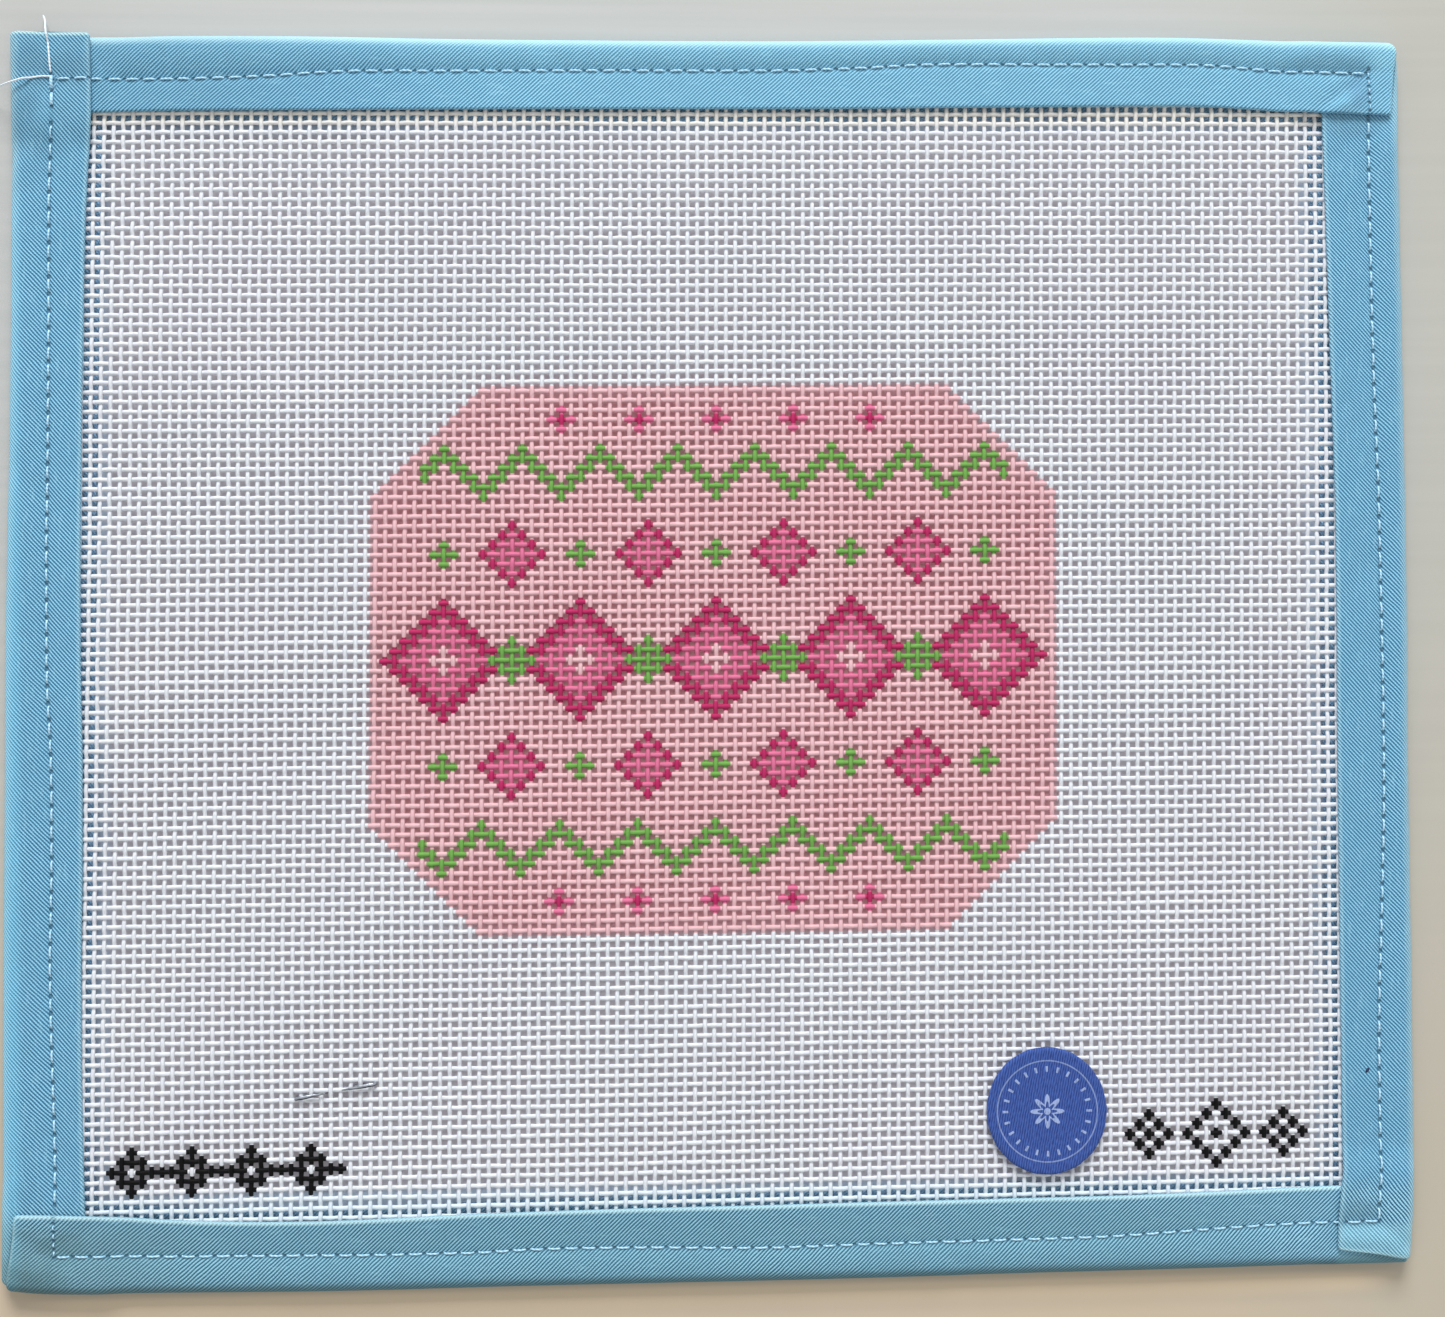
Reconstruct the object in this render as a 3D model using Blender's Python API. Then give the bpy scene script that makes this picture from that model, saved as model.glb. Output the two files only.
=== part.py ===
# Needlepoint canvas panel: a square-woven mono canvas whose four edges are bound
# with folded tape strips that lap over each other in turn at the corners, with a
# round stick-on label and one clinched staple. It lies flat, front face up.
# Lengths below are in millimetres and become metres when a mesh is made.

import math

import bmesh
import bpy
from mathutils import Vector

MM = 0.001

# Thicknesses and clearances
CANVAS_THICK = 1.0
LEG_THICK = 1.0
GAP = 0.3
LAP_RISE = LEG_THICK + GAP          # how far a strip climbs over its neighbour
BACK_TOP = LEG_THICK                # the back legs lie on the table
CANVAS_LOW = BACK_TOP + GAP
CANVAS_SAG = 0.35                   # the middle of the canvas hangs a little lower
FRONT_LOW = CANVAS_LOW + CANVAS_THICK + GAP

# Folded strips
FOLD_REACH = 1.5                    # depth of the round fold along the width
FOLD_REACH_LAP = 1.9
FOLD_SQUARE = 0.75                  # below 1 the round fold is a little squared off
PUFF = 0.45                         # tape swells between its fold and the sewing
HEM_PUFF = 0.12                     # and a little between the sewing and its hem
CANVAS_INSET = 1.75                 # canvas edge to the outside of the fold
LAP_RAMP = 5.0                      # length over which a strip comes back down
STRIP_STEPS = 44                    # sections along a strip

# The plan below is read from the outside left, bottom corner; this moves it so that
# the middle of the whole outline is at the origin.
CENTRE_X = 0.375
CENTRE_Y = -0.10

# Each row is one section of a strip. `at` runs along the strip, `fold` is its outer
# fold, `sewn` the sewing line, `front` and `back` the inner edges of the two legs.
TOP_ROWS = [
    dict(at=-99.6, fold=90.85, sewn=84.40, front=79.60, back=78.30),
    dict(at=-89.0, fold=90.95, sewn=84.50, front=79.65, back=78.30),
    dict(at=-78.0, fold=91.25, sewn=84.60, front=79.90, back=78.40),
    dict(at=-66.0, fold=91.30, sewn=85.00, front=80.00, back=78.50),
    dict(at=-54.0, fold=91.20, sewn=85.75, front=80.05, back=78.60),
    dict(at=-40.0, fold=90.95, sewn=85.85, front=80.15, back=78.80),
    dict(at=-15.0, fold=90.75, sewn=85.95, front=80.25, back=78.75),
    dict(at=8.0, fold=90.70, sewn=85.95, front=80.25, back=78.90),
    dict(at=22.0, fold=90.82, sewn=86.35, front=80.32, back=79.00),
    dict(at=35.0, fold=91.00, sewn=86.95, front=80.45, back=79.20),
    dict(at=55.0, fold=91.30, sewn=86.95, front=80.65, back=79.40),
    dict(at=66.0, fold=91.40, sewn=86.95, front=80.70, back=79.40),
    dict(at=75.0, fold=91.27, sewn=86.85, front=80.60, back=79.20),
    dict(at=85.0, fold=90.95, sewn=86.05, front=80.00, back=78.80),
    dict(at=93.0, fold=90.68, sewn=85.65, front=79.50, back=78.40),
    dict(at=102.9, fold=90.55, sewn=85.55, front=79.15, back=78.10),
]

BOTTOM_ROWS = [
    dict(at=-101.1, fold=-90.45, sewn=-85.45, front=-79.35, back=-78.20),
    dict(at=-97.5, fold=-90.95, sewn=-85.45, front=-79.45, back=-78.25),
    dict(at=-90.0, fold=-91.22, sewn=-85.50, front=-79.75, back=-78.50),
    dict(at=-80.0, fold=-91.32, sewn=-85.85, front=-80.55, back=-79.20),
    dict(at=-70.0, fold=-91.45, sewn=-86.00, front=-81.10, back=-79.80),
    dict(at=-58.0, fold=-91.58, sewn=-86.15, front=-81.28, back=-80.00),
    dict(at=-47.0, fold=-91.60, sewn=-86.30, front=-81.10, back=-79.90),
    dict(at=-38.0, fold=-91.52, sewn=-86.30, front=-80.80, back=-79.50),
    dict(at=-24.0, fold=-91.45, sewn=-85.92, front=-80.52, back=-79.20),
    dict(at=-10.0, fold=-91.45, sewn=-86.05, front=-80.38, back=-79.00),
    dict(at=8.0, fold=-91.45, sewn=-86.43, front=-80.28, back=-78.90),
    dict(at=25.0, fold=-91.38, sewn=-86.20, front=-80.15, back=-78.80),
    dict(at=42.0, fold=-91.20, sewn=-86.05, front=-80.05, back=-78.60),
    dict(at=58.0, fold=-91.12, sewn=-85.80, front=-79.95, back=-78.50),
    dict(at=74.0, fold=-91.00, sewn=-85.00, front=-79.62, back=-78.30),
    dict(at=86.0, fold=-90.85, sewn=-84.50, front=-79.25, back=-78.00),
    dict(at=100.2, fold=-90.60, sewn=-84.15, front=-79.00, back=-77.90),
]

LEFT_ROWS = [
    dict(at=-88.4, fold=-102.85, sewn=-95.05, front=-90.70, back=-89.50),
    dict(at=-80.0, fold=-102.80, sewn=-95.05, front=-90.80, back=-89.60),
    dict(at=-70.0, fold=-102.75, sewn=-95.10, front=-91.05, back=-89.90),
    dict(at=-58.0, fold=-102.75, sewn=-95.45, front=-91.25, back=-90.00),
    dict(at=-44.0, fold=-102.70, sewn=-95.75, front=-91.28, back=-89.90),
    dict(at=-30.0, fold=-102.58, sewn=-95.50, front=-91.10, back=-89.70),
    dict(at=-15.0, fold=-102.48, sewn=-95.60, front=-91.10, back=-89.60),
    dict(at=0.0, fold=-102.42, sewn=-96.20, front=-91.33, back=-89.70),
    dict(at=15.0, fold=-102.18, sewn=-96.20, front=-91.32, back=-89.60),
    dict(at=32.0, fold=-101.82, sewn=-96.00, front=-91.15, back=-89.40),
    dict(at=50.0, fold=-101.60, sewn=-95.88, front=-90.85, back=-89.00),
    dict(at=62.0, fold=-101.52, sewn=-95.85, front=-90.60, back=-88.60),
    dict(at=72.0, fold=-101.40, sewn=-95.70, front=-90.15, back=-88.20),
    dict(at=80.0, fold=-101.45, sewn=-95.25, front=-89.55, back=-88.00),
    dict(at=91.1, fold=-101.55, sewn=-95.40, front=-89.40, back=-88.00),
]

RIGHT_ROWS = [
    dict(at=-89.0, fold=102.00, sewn=96.70, front=90.60, back=89.40),
    dict(at=-83.0, fold=102.40, sewn=96.90, front=90.95, back=89.70),
    dict(at=-76.0, fold=102.70, sewn=97.45, front=91.75, back=90.50),
    dict(at=-66.0, fold=102.90, sewn=97.55, front=91.92, back=90.60),
    dict(at=-52.0, fold=103.02, sewn=97.80, front=92.00, back=90.60),
    dict(at=-40.0, fold=103.10, sewn=98.40, front=92.08, back=90.60),
    dict(at=-26.0, fold=103.15, sewn=98.98, front=92.20, back=90.70),
    dict(at=-12.0, fold=103.25, sewn=99.25, front=92.32, back=90.80),
    dict(at=4.0, fold=103.50, sewn=99.28, front=92.55, back=91.00),
    dict(at=20.0, fold=103.60, sewn=99.25, front=92.65, back=91.00),
    dict(at=33.0, fold=103.60, sewn=98.98, front=92.52, back=90.90),
    dict(at=48.0, fold=103.60, sewn=98.78, front=92.28, back=90.60),
    dict(at=64.0, fold=103.60, sewn=98.75, front=92.05, back=90.40),
    dict(at=76.0, fold=103.60, sewn=98.75, front=91.85, back=90.20),
    dict(at=88.75, fold=103.60, sewn=98.75, front=91.80, back=90.10),
]

# One row a strip: the side it binds, the sign of its run into the panel, the end
# that laps over a neighbour, that neighbour's inner edge, the inner edge of the one
# it goes under, where its hidden back leg is trimmed, and how far its ends lean.
STRIPS = [
    dict(name="binding_top", side="y", inward=-1, rows=TOP_ROWS, lap_end=1,
         lap_from=91.8, under_to=-89.4, trim_from=-87.7, lean_low=0.0, lean_high=-0.45),
    dict(name="binding_bottom", side="y", inward=1, rows=BOTTOM_ROWS, lap_end=-1,
         lap_from=-90.8, under_to=90.7, trim_from=89.1, lean_low=0.65, lean_high=0.0),
    dict(name="binding_left", side="x", inward=1, rows=LEFT_ROWS, lap_end=1,
         lap_from=79.7, under_to=-79.5, trim_from=-77.9, lean_low=0.0, lean_high=0.0),
    dict(name="binding_right", side="x", inward=-1, rows=RIGHT_ROWS, lap_end=-1,
         lap_from=-79.1, under_to=79.2, trim_from=77.8, lean_low=1.1, lean_high=0.0),
]

# Round label
LABEL_X = 48.18
LABEL_Y = -67.42
LABEL_ACROSS = 17.6
LABEL_HIGH = 18.5
LABEL_THICK = 1.1
LABEL_ROUND = 0.3
LABEL_SIDES = 48

# Staple: flat wire, its two legs come up through the canvas and fold towards each other
WIRE_WIDE = 0.55
WIRE_THICK = 0.45
STAPLE_X = -55.18
STAPLE_Y = -62.80
STAPLE_SPAN = 11.6
STAPLE_TURN = math.radians(9.6)
CLINCH_LEFT = 4.3
CLINCH_RIGHT = 4.5
PIERCE = 1.25                       # the opening the staple leg made in the weave

CANVAS_CELLS_X = 30
CANVAS_CELLS_Y = 26


def clear_scene():
    for item in list(bpy.data.objects):
        bpy.data.objects.remove(item, do_unlink=True)


def smooth(t):
    t = min(1.0, max(0.0, t))
    return t * t * (3.0 - 2.0 * t)


def read_row(rows, key, at):
    """Value of one column at a station, on a smooth curve through the rows."""
    if at <= rows[0]["at"]:
        return rows[0][key]
    if at >= rows[-1]["at"]:
        return rows[-1][key]
    k = 0
    while rows[k + 1]["at"] < at:
        k += 1
    here, there = rows[k], rows[k + 1]
    span = there["at"] - here["at"]
    t = (at - here["at"]) / span
    step = (there[key] - here[key]) / span
    before = step
    if k > 0:
        before = (here[key] - rows[k - 1][key]) / (here["at"] - rows[k - 1]["at"])
    after = step
    if k + 2 < len(rows):
        after = (rows[k + 2][key] - there[key]) / (rows[k + 2]["at"] - there["at"])
    slope_a = 0.5 * (before + step) if before * step > 0 else 0.0
    slope_b = 0.5 * (after + step) if after * step > 0 else 0.0
    h00 = (1 + 2 * t) * (1 - t) ** 2
    h10 = t * (1 - t) ** 2
    h01 = t * t * (3 - 2 * t)
    h11 = t * t * (t - 1)
    return (h00 * here[key] + h10 * span * slope_a
            + h01 * there[key] + h11 * span * slope_b)


def canvas_low(x, y):
    """Height of the canvas underside, a little lower in the middle."""
    across = max(0.0, 1.0 - (x / 88.0) ** 2)
    along = max(0.0, 1.0 - (y / 78.0) ** 2)
    return CANVAS_LOW - CANVAS_SAG * across * along


def mesh_object(name, points, faces, material, is_smooth=True):
    mesh = bpy.data.meshes.new(name)
    placed = [((x - CENTRE_X) * MM, (y - CENTRE_Y) * MM, z * MM) for x, y, z in points]
    mesh.from_pydata(placed, [], faces)
    body = bmesh.new()
    body.from_mesh(mesh)
    bmesh.ops.recalc_face_normals(body, faces=body.faces)
    body.to_mesh(mesh)
    body.free()
    for face in mesh.polygons:
        face.use_smooth = is_smooth
    mesh.materials.append(material)
    item = bpy.data.objects.new(name, mesh)
    bpy.context.collection.objects.link(item)
    return item


def make_material(name, colour, roughness, metallic=0.0):
    material = bpy.data.materials.new(name)
    material.use_nodes = True
    shader = material.node_tree.nodes["Principled BSDF"]
    shader.inputs["Base Color"].default_value = (*colour, 1.0)
    shader.inputs["Roughness"].default_value = roughness
    shader.inputs["Metallic"].default_value = metallic
    return material


def strip_section(strip, at):
    """Closed loop of (distance in from the fold, height) at one station of a strip."""
    rows = strip["rows"]
    fold = read_row(rows, "fold", at)
    sewn = abs(read_row(rows, "sewn", at) - fold)
    front = abs(read_row(rows, "front", at) - fold)
    back = abs(read_row(rows, "back", at) - fold)
    # How far this section is lifted over its neighbour, and pressed under one
    lap = strip["lap_end"]
    lifted = smooth(1.0 + (at - (strip["lap_from"] - lap * 1.2)) * lap / LAP_RAMP)
    pressed = 1.0 - smooth((at - strip["under_to"]) * lap / LAP_RAMP)
    puff = PUFF * (1.0 - pressed)
    hem_puff = HEM_PUFF * (1.0 - pressed)
    low_in = LEG_THICK
    top_in = FRONT_LOW + LAP_RISE * lifted
    top_out = top_in + LEG_THICK
    reach = FOLD_REACH + (FOLD_REACH_LAP - FOLD_REACH) * lifted
    inner_reach = reach - 0.55
    loop = []
    # outside, from the back leg's inner edge round the fold to the front leg's edge
    loop.append((back - 0.25, 0.0))
    loop.append((back * 0.55, 0.0))
    loop += fold_arc(reach, 0.0, 0.0, top_out, 6)
    loop.append((reach + 0.42 * (sewn - reach), top_out + puff))
    loop.append((sewn - 0.9, top_out + 0.45 * puff))
    loop.append((sewn, top_out))
    loop.append((sewn + 0.55 * (front - sewn), top_out + hem_puff))
    loop.append((front - 0.3, top_out - 0.02))
    loop.append((front, top_out - 0.3))
    loop.append((front, top_in + 0.25))
    # inside, back round the fold to the back leg
    loop.append((front - 0.2, top_in))
    loop.append((sewn, top_in))
    loop += reversed(fold_arc(inner_reach, LEG_THICK, low_in, top_in, 4))
    loop.append((back * 0.55, low_in))
    loop.append((back - 0.1, low_in))
    loop.append((back, low_in - 0.25))
    loop.append((back, 0.25))
    return fold, front, loop


def fold_arc(reach, start, low, high, steps):
    """Squared-off half round from the low side to the high side of a fold."""
    middle = 0.5 * (low + high)
    half = 0.5 * (high - low)
    arc = []
    for k in range(steps + 1):
        turn = math.radians(-90.0 + 180.0 * k / steps)
        out = abs(math.cos(turn)) ** FOLD_SQUARE
        up = math.copysign(abs(math.sin(turn)) ** FOLD_SQUARE, math.sin(turn))
        arc.append((start + reach * (1.0 - out), middle + half * up))
    return arc


def strip_object(strip, material):
    rows = strip["rows"]
    first, last = rows[0]["at"], rows[-1]["at"]
    stations = [first + (last - first) * k / STRIP_STEPS for k in range(STRIP_STEPS + 1)]
    points, faces = [], []
    size = None
    for index, at in enumerate(stations):
        fold, front, loop = strip_section(strip, at)
        if size is None:
            size = len(loop)
        near_low = 1.0 - smooth((at - first) / 9.0)
        near_high = 1.0 - smooth((last - at) / 9.0)
        for inset, height in loop:
            # a cut end that is not square shifts along the strip across its width
            lean = inset / front
            along = at + lean * (strip["lean_low"] * near_low
                                 + strip["lean_high"] * near_high)
            across = fold + strip["inward"] * inset
            if strip["side"] == "y":
                points.append((along, across, height))
            else:
                points.append((across, along, height))
    for ring in range(len(stations) - 1):
        for k in range(size):
            a = ring * size + k
            b = ring * size + (k + 1) % size
            faces.append((a, b, b + size, a + size))
    faces.append(tuple(range(size)))
    faces.append(tuple((len(stations) - 1) * size + k for k in reversed(range(size))))
    body = mesh_object(strip["name"], points, faces, material)
    # the end that goes under its neighbour has its back leg trimmed away
    end = first if strip["lap_end"] > 0 else last
    middle = 0.5 * (strip["trim_from"] + end - 2.0 * strip["lap_end"])
    length = abs(strip["trim_from"] - end) + 2.0
    across = read_row(rows, "fold", end) + strip["inward"] * 6.5
    place = (middle, across) if strip["side"] == "y" else (across, middle)
    shape = (length, 18.0) if strip["side"] == "y" else (18.0, length)
    cutter = box_object(strip["name"] + "_trim", *place, 0.5 * (CANVAS_LOW - 2.0),
                        *shape, CANVAS_LOW + 2.0, material)
    cut_away(body, cutter)
    return body


def cut_away(body, cutter):
    cutter.hide_render = True
    cutter.display_type = "WIRE"
    cut = body.modifiers.new("cut", "BOOLEAN")
    cut.operation = "DIFFERENCE"
    cut.solver = "EXACT"
    cut.object = cutter


def canvas_edge(rows, at, inward):
    return read_row(rows, "fold", at) + inward * CANVAS_INSET


def canvas_object(material):
    """The woven sheet as one even plate, its edges following the four folds."""
    points, faces = [], []
    rows_across = CANVAS_CELLS_Y + 1
    columns = CANVAS_CELLS_X + 1
    for layer in (0, 1):
        for j in range(rows_across):
            v = j / CANVAS_CELLS_Y
            for i in range(columns):
                u = i / CANVAS_CELLS_X
                y_guess = -89.5 + 179.0 * v
                left = canvas_edge(LEFT_ROWS, y_guess, 1)
                right = canvas_edge(RIGHT_ROWS, y_guess, -1)
                x = left + (right - left) * u
                low = canvas_edge(BOTTOM_ROWS, x, 1)
                high = canvas_edge(TOP_ROWS, x, -1)
                y = low + (high - low) * v
                points.append((x, y, canvas_low(x, y) + layer * CANVAS_THICK))
    count = rows_across * columns
    for j in range(CANVAS_CELLS_Y):
        for i in range(CANVAS_CELLS_X):
            a = j * columns + i
            faces.append((a, a + columns, a + columns + 1, a + 1))
            faces.append((count + a, count + a + 1, count + a + columns + 1, count + a + columns))
    border = [i for i in range(columns)]
    border += [j * columns + CANVAS_CELLS_X for j in range(1, rows_across)]
    border += [CANVAS_CELLS_Y * columns + i for i in reversed(range(CANVAS_CELLS_X))]
    border += [j * columns for j in reversed(range(1, CANVAS_CELLS_Y))]
    for k, a in enumerate(border):
        b = border[(k + 1) % len(border)]
        faces.append((a, b, count + b, count + a))
    canvas = mesh_object("canvas", points, faces, material, is_smooth=False)
    for side in (-1, 1):
        x = STAPLE_X + side * 0.5 * STAPLE_SPAN * math.cos(STAPLE_TURN)
        y = STAPLE_Y + side * 0.5 * STAPLE_SPAN * math.sin(STAPLE_TURN)
        cutter = box_object("pierce_left" if side < 0 else "pierce_right",
                            x, y, CANVAS_LOW + 0.5, PIERCE, PIERCE, 4.0, material)
        cutter.rotation_euler = (0.0, 0.0, STAPLE_TURN)
        cut_away(canvas, cutter)
    return canvas


def box_object(name, x, y, z, wide, deep, tall, material):
    mesh = bpy.data.meshes.new(name)
    body = bmesh.new()
    bmesh.ops.create_cube(body, size=1.0)
    bmesh.ops.scale(body, vec=Vector((wide * MM, deep * MM, tall * MM)), verts=body.verts)
    body.to_mesh(mesh)
    body.free()
    mesh.materials.append(material)
    item = bpy.data.objects.new(name, mesh)
    item.location = ((x - CENTRE_X) * MM, (y - CENTRE_Y) * MM, z * MM)
    bpy.context.collection.objects.link(item)
    return item


def label_object(material):
    """Oval disc with a softened upper rim, lying on the canvas."""
    bottom = canvas_low(LABEL_X, LABEL_Y) + CANVAS_THICK + GAP + 0.04
    profile = [
        dict(shrink=0.10, height=0.0),
        dict(shrink=0.0, height=0.15),
        dict(shrink=0.0, height=LABEL_THICK - LABEL_ROUND),
        dict(shrink=0.10, height=LABEL_THICK - 0.1),
        dict(shrink=LABEL_ROUND + 0.1, height=LABEL_THICK),
    ]
    points, faces = [], []
    for ring in profile:
        for k in range(LABEL_SIDES):
            turn = 2.0 * math.pi * k / LABEL_SIDES
            x = LABEL_X + (0.5 * LABEL_ACROSS - ring["shrink"]) * math.cos(turn)
            y = LABEL_Y + (0.5 * LABEL_HIGH - ring["shrink"]) * math.sin(turn)
            points.append((x, y, bottom + ring["height"]))
    for level in range(len(profile) - 1):
        for k in range(LABEL_SIDES):
            a = level * LABEL_SIDES + k
            b = level * LABEL_SIDES + (k + 1) % LABEL_SIDES
            faces.append((a, b, b + LABEL_SIDES, a + LABEL_SIDES))
    faces.append(tuple(reversed(range(LABEL_SIDES))))
    top = (len(profile) - 1) * LABEL_SIDES
    faces.append(tuple(top + k for k in range(LABEL_SIDES)))
    return mesh_object("label", points, faces, material)


def staple_object(material):
    """Flat wire swept along crown, legs and clinched tips."""
    half = 0.5 * STAPLE_SPAN
    low = canvas_low(STAPLE_X, STAPLE_Y) - GAP - 0.5 * WIRE_THICK
    high = canvas_low(STAPLE_X, STAPLE_Y) + CANVAS_THICK + GAP + 0.06 + 0.5 * WIRE_THICK
    route = [
        dict(u=-half + CLINCH_LEFT, z=high + 0.02),
        dict(u=-half, z=high),
        dict(u=-half, z=low),
        dict(u=half, z=low),
        dict(u=half, z=high),
        dict(u=half - CLINCH_RIGHT, z=high + 0.02),
    ]
    thick = 0.5 * WIRE_THICK
    wide = 0.5 * WIRE_WIDE
    points, faces = [], []
    for k, stop in enumerate(route):
        before = route[max(0, k - 1)]
        after = route[min(len(route) - 1, k + 1)]
        into = Vector((stop["u"] - before["u"], stop["z"] - before["z"]))
        out = Vector((after["u"] - stop["u"], after["z"] - stop["z"]))
        into = into.normalized() if into.length > 0 else out.normalized()
        out = out.normalized() if out.length > 0 else into
        side = Vector((-(into.y + out.y), into.x + out.x)).normalized()
        spread = thick / max(0.3, side.dot(Vector((-into.y, into.x))))
        for across, up in ((-wide, -spread), (wide, -spread), (wide, spread), (-wide, spread)):
            u = stop["u"] + side.x * up
            z = stop["z"] + side.y * up
            x = STAPLE_X + u * math.cos(STAPLE_TURN) - across * math.sin(STAPLE_TURN)
            y = STAPLE_Y + u * math.sin(STAPLE_TURN) + across * math.cos(STAPLE_TURN)
            points.append((x, y, z))
    for ring in range(len(route) - 1):
        for k in range(4):
            a = ring * 4 + k
            b = ring * 4 + (k + 1) % 4
            faces.append((a, b, b + 4, a + 4))
    faces.append((0, 1, 2, 3))
    end = 4 * (len(route) - 1)
    faces.append((end + 3, end + 2, end + 1, end))
    return mesh_object("staple", points, faces, material, is_smooth=False)


clear_scene()
canvas_white = make_material("canvas_white", (0.86, 0.88, 0.90), 0.85)
tape_blue = make_material("tape_blue", (0.20, 0.42, 0.58), 0.80)
label_blue = make_material("label_blue", (0.06, 0.11, 0.36), 0.70)
wire_steel = make_material("wire_steel", (0.62, 0.63, 0.65), 0.30, 1.0)

canvas_object(canvas_white)
for strip_row in STRIPS:
    strip_object(strip_row, tape_blue)
label_object(label_blue)
staple_object(wire_steel)
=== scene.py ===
# Looks of the needlepoint canvas panel: woven threads, painted chart, folded twill
# bindings with their sewing, a round cloth label and a staple, on a plain pale floor.
# Plans are in millimetres. They become metres, with planCentre at the panel's origin,
# when a mesh is made.
import math

import bmesh
import bpy
import numpy as np
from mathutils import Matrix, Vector
from mathutils.bvhtree import BVHTree


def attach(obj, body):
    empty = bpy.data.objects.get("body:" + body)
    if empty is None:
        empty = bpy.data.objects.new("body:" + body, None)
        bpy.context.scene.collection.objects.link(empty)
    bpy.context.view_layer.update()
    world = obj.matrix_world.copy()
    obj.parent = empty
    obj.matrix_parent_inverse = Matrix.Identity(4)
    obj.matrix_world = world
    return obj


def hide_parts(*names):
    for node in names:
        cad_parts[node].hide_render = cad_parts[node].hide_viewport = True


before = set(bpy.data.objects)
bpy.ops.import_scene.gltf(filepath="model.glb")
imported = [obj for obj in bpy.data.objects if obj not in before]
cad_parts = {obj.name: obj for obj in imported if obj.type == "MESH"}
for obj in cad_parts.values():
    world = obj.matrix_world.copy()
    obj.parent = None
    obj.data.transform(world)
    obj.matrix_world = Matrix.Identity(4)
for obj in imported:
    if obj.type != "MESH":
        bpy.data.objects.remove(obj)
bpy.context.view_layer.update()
print("frame loaded")

mm = 0.001
fullTurn = 2.0 * math.pi
planCentre = (0.375, -0.10)


# Helpers for numbers and meshes.

def smooth(t):
    t = np.clip(t, 0.0, 1.0)
    return t * t * (3.0 - 2.0 * t)


def between(t, span, start, end, leave, arrive):
    # a smooth curve from one value to the next, on the slopes given at both
    return ((1 + 2 * t) * (1 - t) ** 2 * start + t * (1 - t) ** 2 * span * leave
            + t * t * (3 - 2 * t) * end + t * t * (t - 1) * span * arrive)


def rounding(distance, radius):
    # how far a rounded edge has dropped this near to its end
    left = np.clip(radius - distance, 0.0, radius)
    return radius - np.sqrt(radius * radius - left * left)


def cosAndSin(degrees):
    return math.cos(math.radians(degrees)), math.sin(math.radians(degrees))


def heading(route):
    # the way ahead at each point of a route
    ahead = np.gradient(route, axis=0)
    return ahead / np.linalg.norm(ahead, axis=1)[:, None]


def tint(red, green, blue):
    # a colour picked on a screen, 0 to 255, as the linear colour that nodes use
    values = np.array([red, green, blue]) / 255.0
    linear = np.where(values <= 0.04045, values / 12.92, ((values + 0.055) / 1.055) ** 2.4)
    return (*[float(v) for v in linear], 1.0)


def onPanel(points):
    return ((np.asarray(points, float) - (*planCentre, 0.0)) * mm).tolist()


def linked(name, data):
    item = bpy.data.objects.new(name, data)
    bpy.context.scene.collection.objects.link(item)
    return item


def fetch(items, field, kind=np.float32, width=1):
    # one value, or as many as width, of each item of a mesh
    values = np.zeros(len(items) * width, kind)
    items.foreach_get(field, values)
    return values if width == 1 else values.reshape(-1, width)


def store(mesh, name, kind, domain, values):
    # a named attribute, for the materials to read
    field = {"FLOAT": "value", "FLOAT_VECTOR": "vector", "FLOAT_COLOR": "color"}[kind]
    layer = mesh.attributes.new(name, kind, domain)
    layer.data.foreach_set(field, np.asarray(values, np.float32).ravel())


def newBody(name, rings, material):
    # a closed skin through rings of points, with one face over each end
    count, size = rings.shape[:2]
    faces = []
    for start in range(0, (count - 1) * size, size):
        for k in range(size):
            a, b = start + k, start + (k + 1) % size
            faces.append((a, b, b + size, a + size))
    faces.append(tuple(range(size)))
    faces.append(tuple(range(count * size - 1, (count - 1) * size - 1, -1)))
    mesh = bpy.data.meshes.new(name)
    mesh.from_pydata(onPanel(rings.reshape(-1, 3)), [], faces)
    body = bmesh.new()
    body.from_mesh(mesh)
    bmesh.ops.recalc_face_normals(body, faces=body.faces)
    body.to_mesh(mesh)
    body.free()
    mesh.shade_smooth()
    mesh.materials.append(material)
    return linked(name, mesh)


# Helpers for node trees.

class Wire:
    # one output of a node tree; sums written with it add Math nodes
    def __init__(self, graph, socket):
        self.graph = graph
        self.socket = socket

    def other(self, name):
        return Wire(self.graph, self.socket.node.outputs[name])

    def __add__(self, value):
        return self.graph.math("ADD", self, value)

    def __radd__(self, value):
        return self.graph.math("ADD", value, self)

    def __sub__(self, value):
        return self.graph.math("SUBTRACT", self, value)

    def __rsub__(self, value):
        return self.graph.math("SUBTRACT", value, self)

    def __mul__(self, value):
        return self.graph.math("MULTIPLY", self, value)

    def __rmul__(self, value):
        return self.graph.math("MULTIPLY", value, self)

    def __truediv__(self, value):
        return self.graph.math("DIVIDE", self, value)

    def __neg__(self):
        return self.graph.math("MULTIPLY", self, -1.0)

    def __abs__(self):
        return self.graph.math("ABSOLUTE", self)


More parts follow.
